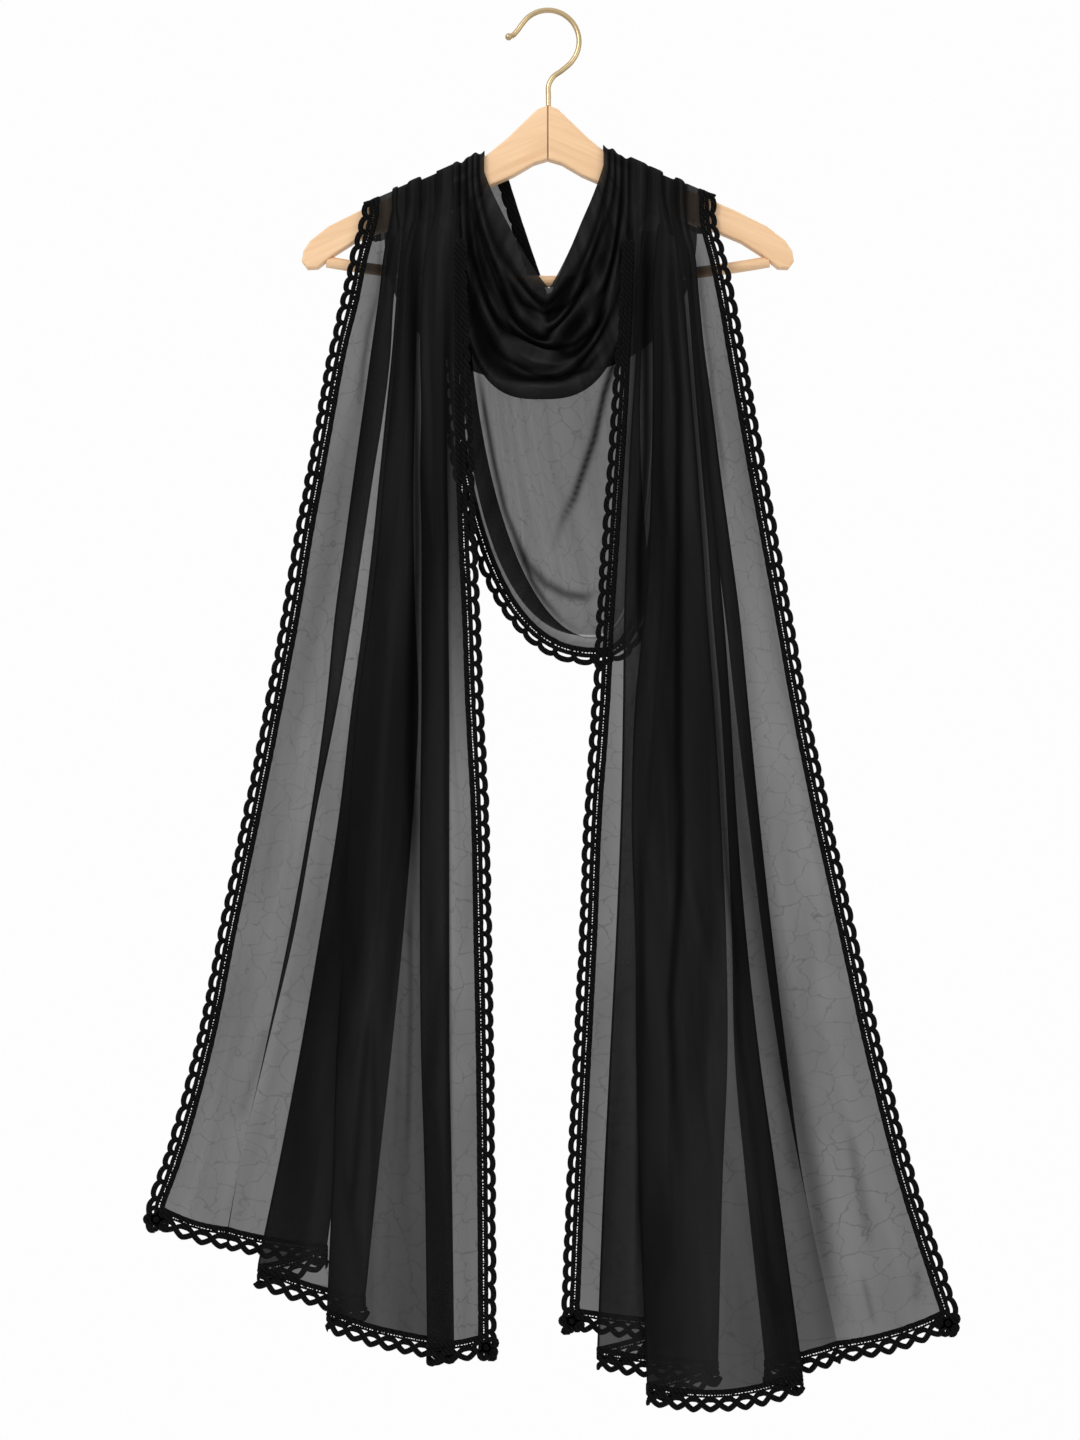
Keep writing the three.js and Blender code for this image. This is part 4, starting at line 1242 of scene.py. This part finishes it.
@dataclass
class Cowl(Swag):
    """The middle of the stole, folded double and gathered in rolls under the neck."""

    creases: tuple[Crease, ...] = ()
    flat: tuple[float, float] = (0.12, 0.33)

    def over(self, table: np.ndarray, swells: dict, column: Column) -> np.ndarray:
        """Its rows over the arm at one end."""
        swell = swells[column]
        return over_arm_rows(table[:, column], ROLL_HALF_DEPTH + swell, ROLL_RISE + swell)

    def build(self, cloth: bpy.types.Material) -> None:
        """Makes the cowl, over both arms.

        Args:
            cloth: the chiffon's finish.
        """
        table = self.rows()
        swells = {column: roll_swell(table[:, column]) for column in ENDS}
        ends = []
        for column, swell in swells.items():
            x = table[:, column]
            ends.append(np.stack([x, -ROLL_HALF_DEPTH - swell, arm_top(x) - ROLL_FRONT_DROP], axis=-1))
        middle = self.hang(table, ends[0], ends[1])
        extra, cover, shade = self.fields(table, middle)
        middle[..., 1] -= extra
        left = self.over(table, swells, Column.LEFT_X)
        right = self.over(table, swells, Column.RIGHT_X)[:, ::-1]
        points = np.concatenate([left, middle, right], axis=1)
        padded = []
        for column, values in ((Column.COVER, cover), (Column.SHADE, shade)):
            pad = np.broadcast_to(table[:, [column]], left.shape[:2])
            padded.append(np.concatenate([pad, values, pad], axis=1))
        grid = ClothGrid(points, padded[0], padded[1]).creased(self.creases)
        sheet = grid.build("cowl_cloth", cloth)
        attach(sheet, BODY)
        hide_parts("cowl")
        LOG.info("cowl: %.3f m2 of cloth", grid.area())


@dataclass
class LowerDrape(Swag):
    """The rest of the middle, which hangs below the cowl, with its edge folded up once, and its lace."""

    creases: tuple[Crease, ...] = ()
    flat: tuple[float, float] = (0.17, 0.34)

    def build(self, cloth: bpy.types.Material, yarn: bpy.types.Material) -> None:
        """Makes the drape and its lace.

        Args:
            cloth: the chiffon's finish.
            yarn: the lace's finish.
        """
        table = self.rows()
        level = np.full(len(table), DRAPE_END_Z)
        ends = [np.stack([table[:, c], -table[:, Column.END_REACH], level], axis=-1) for c in ENDS]
        points = self.hang(table, ends[0], ends[1])
        shape = points.shape[:2]
        cover = np.broadcast_to(table[:, [Column.COVER]], shape).copy()
        shade = np.broadcast_to(table[:, [Column.SHADE]], shape).copy()
        grid = ClothGrid(points, cover, shade).creased(self.creases)
        sheet = grid.build("drape_lower_cloth", cloth)
        edge, inside = grid.points[-1], grid.points[-3]
        run = LaceRun("lace_drape_yarn", LaceKind.SIDE, edge, way_out(edge, inside), seed=31)
        lace = run.build(yarn)
        for piece, slot, node in ((sheet, "chiffon", "drape_lower"), (lace, "lace", "lace_drape")):
            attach(piece, BODY)
            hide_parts(node)
        LOG.info("lower drape: %.3f m2 of cloth", grid.area())


@dataclass
class BackSwag(Swag):
    """A stretch that crosses behind the neck from one arm to the other."""

    side: Side = Side.LEFT
    lift: float = 0.0
    laced: bool = False
    flat: tuple[float, float] = (0.08, 0.28)

    def build(self, cloth: bpy.types.Material, yarn: bpy.types.Material) -> None:
        """Makes the swag, with lace turned in along its upper edge where it has it.

        Args:
            cloth: the chiffon's finish.
            yarn: the lace's finish.
        """
        table = self.rows()
        at = np.arange(len(table)) / self.between
        ripple = SWAG_RIPPLE * (0.5 - 0.5 * np.cos(math.pi * at))
        reach = ROLL_HALF_DEPTH + ROLL_FLAP_LEAN + ripple + self.lift
        ends = [np.stack([table[:, c], reach, arm_top(table[:, c]) - ROLL_BACK_DROP + SWAG_TUCK], axis=-1)
                for c in ENDS]
        points = self.hang(table, ends[0], ends[1])
        shape = points.shape[:2]
        grid = ClothGrid(points, np.broadcast_to(table[:, [Column.COVER]], shape).copy(),
                         np.broadcast_to(table[:, [Column.SHADE]], shape).copy())
        name = f"back_swag_{self.side.value}"
        sheet = grid.build(f"{name}_cloth", cloth)
        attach(sheet, BODY)
        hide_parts(name)
        if self.laced:
            edge = grid.points[0]
            inward = -way_out(edge, grid.points[3])
            run = LaceRun("lace_neck_yarn", LaceKind.SIDE, edge, inward, seed=41, fullness=0.55,
                          full_at=50.0, lift=-1.3)
            lace = run.build(yarn)
            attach(lace, BODY)
        LOG.info("%s: %.3f m2 of cloth", name, grid.area())


# name, left_x, low_x, low_z, right_x, left_bow, right_bow, reach, end_reach, cover, shade
# The last column paints shade in the grooves and under the lower edge, and highlights on the rolls.
COWL_FOLDS = (
    SwagFold("neckline", -55, 1, -242, 48, 1.15, 1.12, 14, 0, 0.93, 1.2),
    SwagFold("first roll", -58, 0, -253, 51, 1.3, 1.25, 20, 0, 0.97, 1.4),
    SwagFold("first groove", -60, -1, -261, 53, 1.45, 1.35, 14, 0, 0.985, 0.1),
    SwagFold("second roll", -63, -2, -272, 56, 1.6, 1.45, 25, 0, 0.985, 1.6),
    SwagFold("second groove", -65, -1, -281, 58, 1.75, 1.6, 18, 0, 0.99, 0.1),
    SwagFold("third roll", -68, 2, -292, 61, 1.95, 1.75, 30, 0, 0.985, 1.7),
    SwagFold("third groove", -70, 2, -301, 64, 2.1, 1.9, 22, 0, 0.99, 0.1),
    SwagFold("fourth roll", -74, -2, -313, 68, 2.4, 2.2, 34, 0, 0.985, 1.7),
    SwagFold("fourth groove", -76, -4, -321, 70, 2.6, 2.4, 26, 0, 0.985, 0.2),
    SwagFold("last roll", -80, -6, -333, 75, 2.75, 2.6, 35, 0, 0.97, 1.6),
    SwagFold("lower edge", -82, -6, -340, 77, 2.85, 2.75, 27, 0, 0.975, 0.5),
)

# darkens paints shade along each crease, and a highlight where it is below 0.
COWL_CREASES = (
    Crease(((-62, -160), (-60, -189), (-53, -215), (-43, -242), (-27, -270), (-4, -288),
            (8, -290)), 2.6, 4.0, 0.5, 0.9),
    Crease(((-40, -222), (-35, -235), (-22, -256), (-4, -265), (16, -259), (33, -240),
            (44, -220)), 2.4, 3.5, 0.5, 0.9),
    Crease(((-46, -260), (-27, -283), (-2, -296), (23, -293), (44, -275), (56, -250)), 2.6, 3.5, 0.5, 0.85),
    Crease(((-57, -280), (-37, -305), (-12, -319), (11, -323), (34, -314), (51, -293)), 2.6, 3.0, 0.4, 0.8),
    Crease(((-70, -150), (-63, -189), (-59, -220), (-50, -258), (-36, -290)), 2.4, 3.0, 0.4, 0.8),
    Crease(((66, -149), (62, -179), (57, -215), (50, -240), (38, -262)), 2.6, 3.5, 0.5, 0.9),
    Crease(((52, -150), (47, -185), (38, -215), (25, -238)), 2.2, 3.0, 0.4, 0.8),
    # These two paint highlights along ridges of the lower rolls.
    Crease(((-28, -300), (-10, -309), (8, -311), (26, -303)), 1.6, -2.0, 0.0, -0.5),
    Crease(((-20, -328), (-4, -331), (14, -330)), 1.6, -2.0, 0.0, -0.4),
)

# The last column paints shade along the fold line, and a little highlight on the upper swell.
DRAPE_FOLDS = (
    SwagFold("top", -66, -4, -312, 74, 2.4, 2.6, 15, 10.4, 0.86, 1.0),
    SwagFold("upper swell", -67, 6, -380, 80, 2.3, 2.6, 19, 10.4, 0.85, 1.1),
    SwagFold("middle hollow", -68, 18, -440, 85, 2.1, 2.6, 15, 10.4, THIN, 1.0),
    SwagFold("lower swell", -69, 28, -485, 88, 2.0, 2.6, 19, 10.4, THIN, 1.0),
    SwagFold("crease", -70, 31, -508, 90, 2.0, 2.6, 14, 10.4, THIN, 1.0),
    SwagFold("fold underside, back", -79, 38, -541, 93, 2.45, 2.6, 17, 10.4, 0.86, 1.0),
    SwagFold("fold underside, front", -79, 38, -542.5, 94, 2.45, 2.6, 18.6, 11.9, 0.62, 1.0),
    SwagFold("fold line, back", -71, 39, -544, 95, 2.0, 2.6, 19.4, 11.9, 0.9, 0.5),
    SwagFold("fold line, front", -71, 39, -545.5, 96, 2.0, 2.6, 21, 13.4, 0.8, 0.6),
    SwagFold("lace edge", -81, 44, -553, 98, 2.45, 2.6, 22, 13.4, 0.88, 1.0),
)

# darkens paints shade along each crease.
DRAPE_CREASES = (
    Crease(((84, -200), (72, -255), (61, -293), (48, -335), (40, -372), (30, -401), (23, -422), (12, -443),
            (6, -465)), 3.4, 3.0, 0.98, 0.6),
    Crease(((88, -240), (80, -300), (74, -350), (70, -400)), 3.0, 2.0, 0.5, 0.4),
    Crease(((-30, -455), (-19, -479), (-2, -497), (15, -506), (32, -509), (45, -503)), 4.0, 2.5, 0.75, 0.4),
    Crease(((-62, -298), (-56, -339), (-47, -391), (-37, -434), (-21, -474), (-14, -495), (-2, -513),
            (12, -529), (29, -539)), 2.6, 2.0, 0.85, 0.4),
)

# The last column paints shade in the grooves and along the lower edge.
LEFT_SWAG_FOLDS = (
    SwagFold("upper edge", -37, -1, -243, 82, 1.04, 1.25, -16, 0, 0.86, 1.0),
    SwagFold("first groove", -60, 0, -256, 92, 1.3, 1.4, -20, 0, THIN, 0.9),
    SwagFold("first roll", -65, 2, -270, 102, 1.5, 1.6, -17, 0, 0.9, 1.0),
    SwagFold("second groove", -70, 3, -284, 111, 1.7, 1.8, -22, 0, 0.97, 0.3),
    SwagFold("second roll", -76, 4, -298, 121, 1.9, 2.0, -18, 0, 0.95, 1.0),
    SwagFold("lower edge", -82, 5, -312, 131, 2.1, 2.2, -21, 0, 0.95, 0.8),
)

# The last column paints shade in the grooves and along the lower edge.
RIGHT_SWAG_FOLDS = (
    SwagFold("upper edge", -87, 2, -246, 45, 1.25, 1.04, 4, 0, 0.975, 1.0),
    SwagFold("first groove", -98, 1, -260, 53, 1.4, 1.3, 2, 0, THIN, 0.9),
    SwagFold("first roll", -109, 0, -275, 59, 1.6, 1.5, 5, 0, 0.9, 1.0),
    SwagFold("second groove", -120, -2, -290, 65, 1.8, 1.7, 1, 0, 0.97, 0.3),
    SwagFold("second roll", -132, -3, -305, 71, 2.0, 1.9, 5, 0, 0.95, 1.0),
    SwagFold("lower edge", -143, -4, -320, 77, 2.2, 2.1, 2, 0, 0.95, 0.8),
)


# ---- Hanger -------------------------------------------------------------------------------------


HOOK_STEM = ((0.6, -81.2), (0.6, -72), (0.8, -63), (4.5, -56), (12.5, -50))
HOOK_LOOP_DEGREES = (-38, -20, 0, 22, 45, 68, 90, 110)
HOOK_TIP = ((-17.5, -4.2), (-22.5, -10), (-26.6, -15.6), (-30.2, -19.4), (-34, -20.8))


@dataclass
class WireHook:
    """The round wire hook with a ball at its tip."""

    wire: float = 2.3
    loop: float = 27.2
    ball: float = 3.1
    steps: int = 260
    sides: int = 20

    def centre_line(self) -> np.ndarray:
        """Its centre line, from the wood to the tip."""
        turns = np.radians(HOOK_LOOP_DEGREES)
        loop = np.stack([np.cos(turns), np.sin(turns)], axis=-1) * self.loop + (0.0, self.wire - self.loop)
        knots = np.concatenate([np.array(HOOK_STEM), loop, np.array(HOOK_TIP)])
        marks = np.concatenate([[0.0], np.cumsum(np.linalg.norm(np.diff(knots, axis=0), axis=1))])
        flat = smooth_table(np.linspace(0.0, marks[-1], self.steps), marks, knots)
        return np.stack([flat[:, 0], np.zeros(self.steps), flat[:, 1]], axis=-1)

    def build(self) -> None:
        """Makes the hook."""
        path = self.centre_line()
        along = unit(np.gradient(path, axis=0))
        face = np.broadcast_to(np.array([0.0, 1.0, 0.0]), path.shape)
        side = np.cross(face, along)
        yarns = YarnMesh()
        yarns.add(path, side, face, np.full(len(path), self.wire), self.wire, self.sides, False)
        rise = np.linspace(0.02, math.pi - 0.02, 14)
        pole = path[-1] + along[-1] * -np.cos(rise)[:, None] * self.ball
        stretch = np.broadcast_to(side[-1], pole.shape) * np.sin(rise)[:, None]
        depth = np.broadcast_to(face[-1], pole.shape) * np.sin(rise)[:, None]
        yarns.add(pole, stretch, depth, np.full(14, self.ball), self.ball, self.sides, False)
        hook = yarns.build("hook_wire", BrassWire().material())
        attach(hook, BODY)
        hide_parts("hanger_hook")


@dataclass
class Hanger:
    """The wooden hanger: two mitred arms, a trouser bar and a brass hook."""

    arm_slope: float = 23.0
    mitre_top: float = -82.0
    mitre_foot: float = -127.5
    mitre_half_width: float = 0.24
    mitre_half_depth: float = 5.6

    def mitre(self) -> None:
        """Fills the joint between the two arms with its glue line."""
        w, d = self.mitre_half_width, self.mitre_half_depth
        heights = (self.mitre_foot, self.mitre_top)
        box = np.array([(x, y, z) for z in heights for y in (-d, d) for x in (-w, w)])
        faces = [[0, 1, 5, 4], [3, 2, 6, 7], [2, 0, 4, 6], [1, 3, 7, 5], [4, 5, 7, 6], [2, 3, 1, 0]]
        line = link_mesh("mitre_glue_line", box, faces, GlueLine().material())
        line.data.polygons.foreach_set("use_smooth", [False] * len(faces))
        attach(line, BODY)

    def dress(self) -> None:
        """Gives the solids their finishes."""
        finishes = {
            "hanger_arm_left": Beech("beech_arm_left", self.arm_slope),
            "hanger_arm_right": Beech("beech_arm_right", -self.arm_slope),
            "hanger_bar": Beech("beech_bar", 0.0),
        }
        for name, finish in finishes.items():
            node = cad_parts[name]
            node.data.materials.clear()
            node.data.materials.append(finish.material())
            LOG.info("hanger: %s dressed", name)
        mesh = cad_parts["hanger_bar"].data
        mesh.polygons.foreach_set("use_smooth", [True] * len(mesh.polygons))
        self.mitre()
        WireHook().build()


# ---- Studio -------------------------------------------------------------------------------------


@dataclass
class Studio:
    """A pale floor, soft light and the camera."""

    eye: tuple[float, float, float] = (-0.0068, -1.9, -0.6148)
    frame_height: float = 1.252
    sensor: float = 36.0
    floor_z: float = -1.75
    floor_radius: float = 1.4
    backdrop: float = 0.985

    def camera(self) -> None:
        """A level camera at the height of the middle of the cloth."""
        data = bpy.data.cameras.new("camera")
        data.sensor_fit = "VERTICAL"
        data.sensor_height = self.sensor
        data.lens = self.sensor * abs(self.eye[1]) / self.frame_height
        data.clip_end = 20.0
        camera = bpy.data.objects.new("camera", data)
        camera.location = self.eye
        camera.rotation_euler = (math.pi / 2, 0.0, 0.0)
        bpy.context.scene.collection.objects.link(camera)
        bpy.context.scene.camera = camera

    def floor(self) -> None:
        """A round pale floor under the hanging piece."""
        turns = 2.0 * math.pi * np.arange(64) / 64
        rim = np.stack([np.cos(turns), np.sin(turns), np.zeros(64)], axis=-1) * self.floor_radius
        rim[:, 2] = self.floor_z
        floor = link_mesh("floor", rim / MM, [list(range(64))], FloorPaint().material())

    def light(self, name: str, place: tuple, aim: tuple, size: float, power: float) -> None:
        """Adds a soft square light.

        Args:
            name: its name.
            place: where it stands, in metres.
            aim: the point it faces.
            size: its side, in metres.
            power: in watts.
        """
        data = bpy.data.lights.new(name, "AREA")
        data.size = size
        data.energy = power
        lamp = bpy.data.objects.new(name, data)
        lamp.location = place
        toward = Vector(aim) - Vector(place)
        lamp.rotation_euler = toward.to_track_quat("-Z", "Y").to_euler()
        bpy.context.scene.collection.objects.link(lamp)

    def world(self) -> None:
        """White all round for the eye, and a softer graded light for the cloth and the wood."""
        world = bpy.data.worlds.new("studio")
        bpy.context.scene.world = world
        world.use_nodes = True
        nodes, links = world.node_tree.nodes, world.node_tree.links
        nodes.clear()
        place = nodes.new("ShaderNodeTexCoord")
        split = nodes.new("ShaderNodeSeparateXYZ")
        links.new(place.outputs["Generated"], split.inputs[0])
        ramp = nodes.new("ShaderNodeMapRange")
        ramp.inputs["From Min"].default_value = -1.0
        ramp.inputs["To Min"].default_value = 0.5
        ramp.inputs["To Max"].default_value = 0.85
        links.new(split.outputs["Z"], ramp.inputs["Value"])
        soft = nodes.new("ShaderNodeBackground")
        soft.inputs["Color"].default_value = (1.0, 1.0, 1.0, 1.0)
        links.new(ramp.outputs["Result"], soft.inputs["Strength"])
        white = nodes.new("ShaderNodeBackground")
        white.inputs["Color"].default_value = (1.0, 1.0, 1.0, 1.0)
        white.inputs["Strength"].default_value = self.backdrop
        ray = nodes.new("ShaderNodeLightPath")
        pick = nodes.new("ShaderNodeMixShader")
        links.new(ray.outputs["Is Camera Ray"], pick.inputs[0])
        links.new(soft.outputs[0], pick.inputs[1])
        links.new(white.outputs[0], pick.inputs[2])
        out = nodes.new("ShaderNodeOutputWorld")
        links.new(pick.outputs[0], out.inputs["Surface"])

    def build(self) -> None:
        """Sets the whole studio."""
        self.camera()
        self.floor()
        self.world()
        self.light("key", place=(-1.3, -2.0, 0.9), aim=(0.0, 0.0, -0.4), size=1.2, power=24.0)
        self.light("fill", place=(1.6, -1.7, -0.2), aim=(0.0, 0.0, -0.5), size=1.6, power=8.0)
        self.light("back", place=(0.4, 2.0, 0.6), aim=(0.0, 0.0, -0.4), size=1.4, power=10.0)
        view = bpy.context.scene.view_settings
        view.view_transform = "Standard"
        view.look = "None"


# ---- Assembly -----------------------------------------------------------------------------------


def main() -> None:
    """Builds the stole and its hanger in the studio."""
    logging.basicConfig(level=logging.INFO, format="%(name)s: %(message)s")
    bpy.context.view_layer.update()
    Studio().build()
    cloth = Chiffon().material()
    yarn = CrochetYarn().material()
    Hanger().dress()
    Tail(Side.LEFT, LEFT_LINES, front=11.0, creases=LEFT_CREASES, flat=(0.42, 0.96)).build(cloth, yarn)
    Tail(Side.RIGHT, RIGHT_LINES, front=27.0, creases=RIGHT_CREASES, flat=(0.46, 1.0)).build(cloth, yarn)
    Cowl(COWL_FOLDS, left_soon=-9.0, right_soon=-9.0, drift=0.9, creases=COWL_CREASES).build(cloth)
    LowerDrape(DRAPE_FOLDS, smooth=False, creases=DRAPE_CREASES).build(cloth, yarn)
    BackSwag(LEFT_SWAG_FOLDS, side=Side.LEFT, lift=SWAG_LIFT, laced=True).build(cloth, yarn)
    BackSwag(RIGHT_SWAG_FOLDS, right_soon=-19.0, lateness=7.0, side=Side.RIGHT).build(cloth, yarn)


if __name__ == "__main__":
    main()
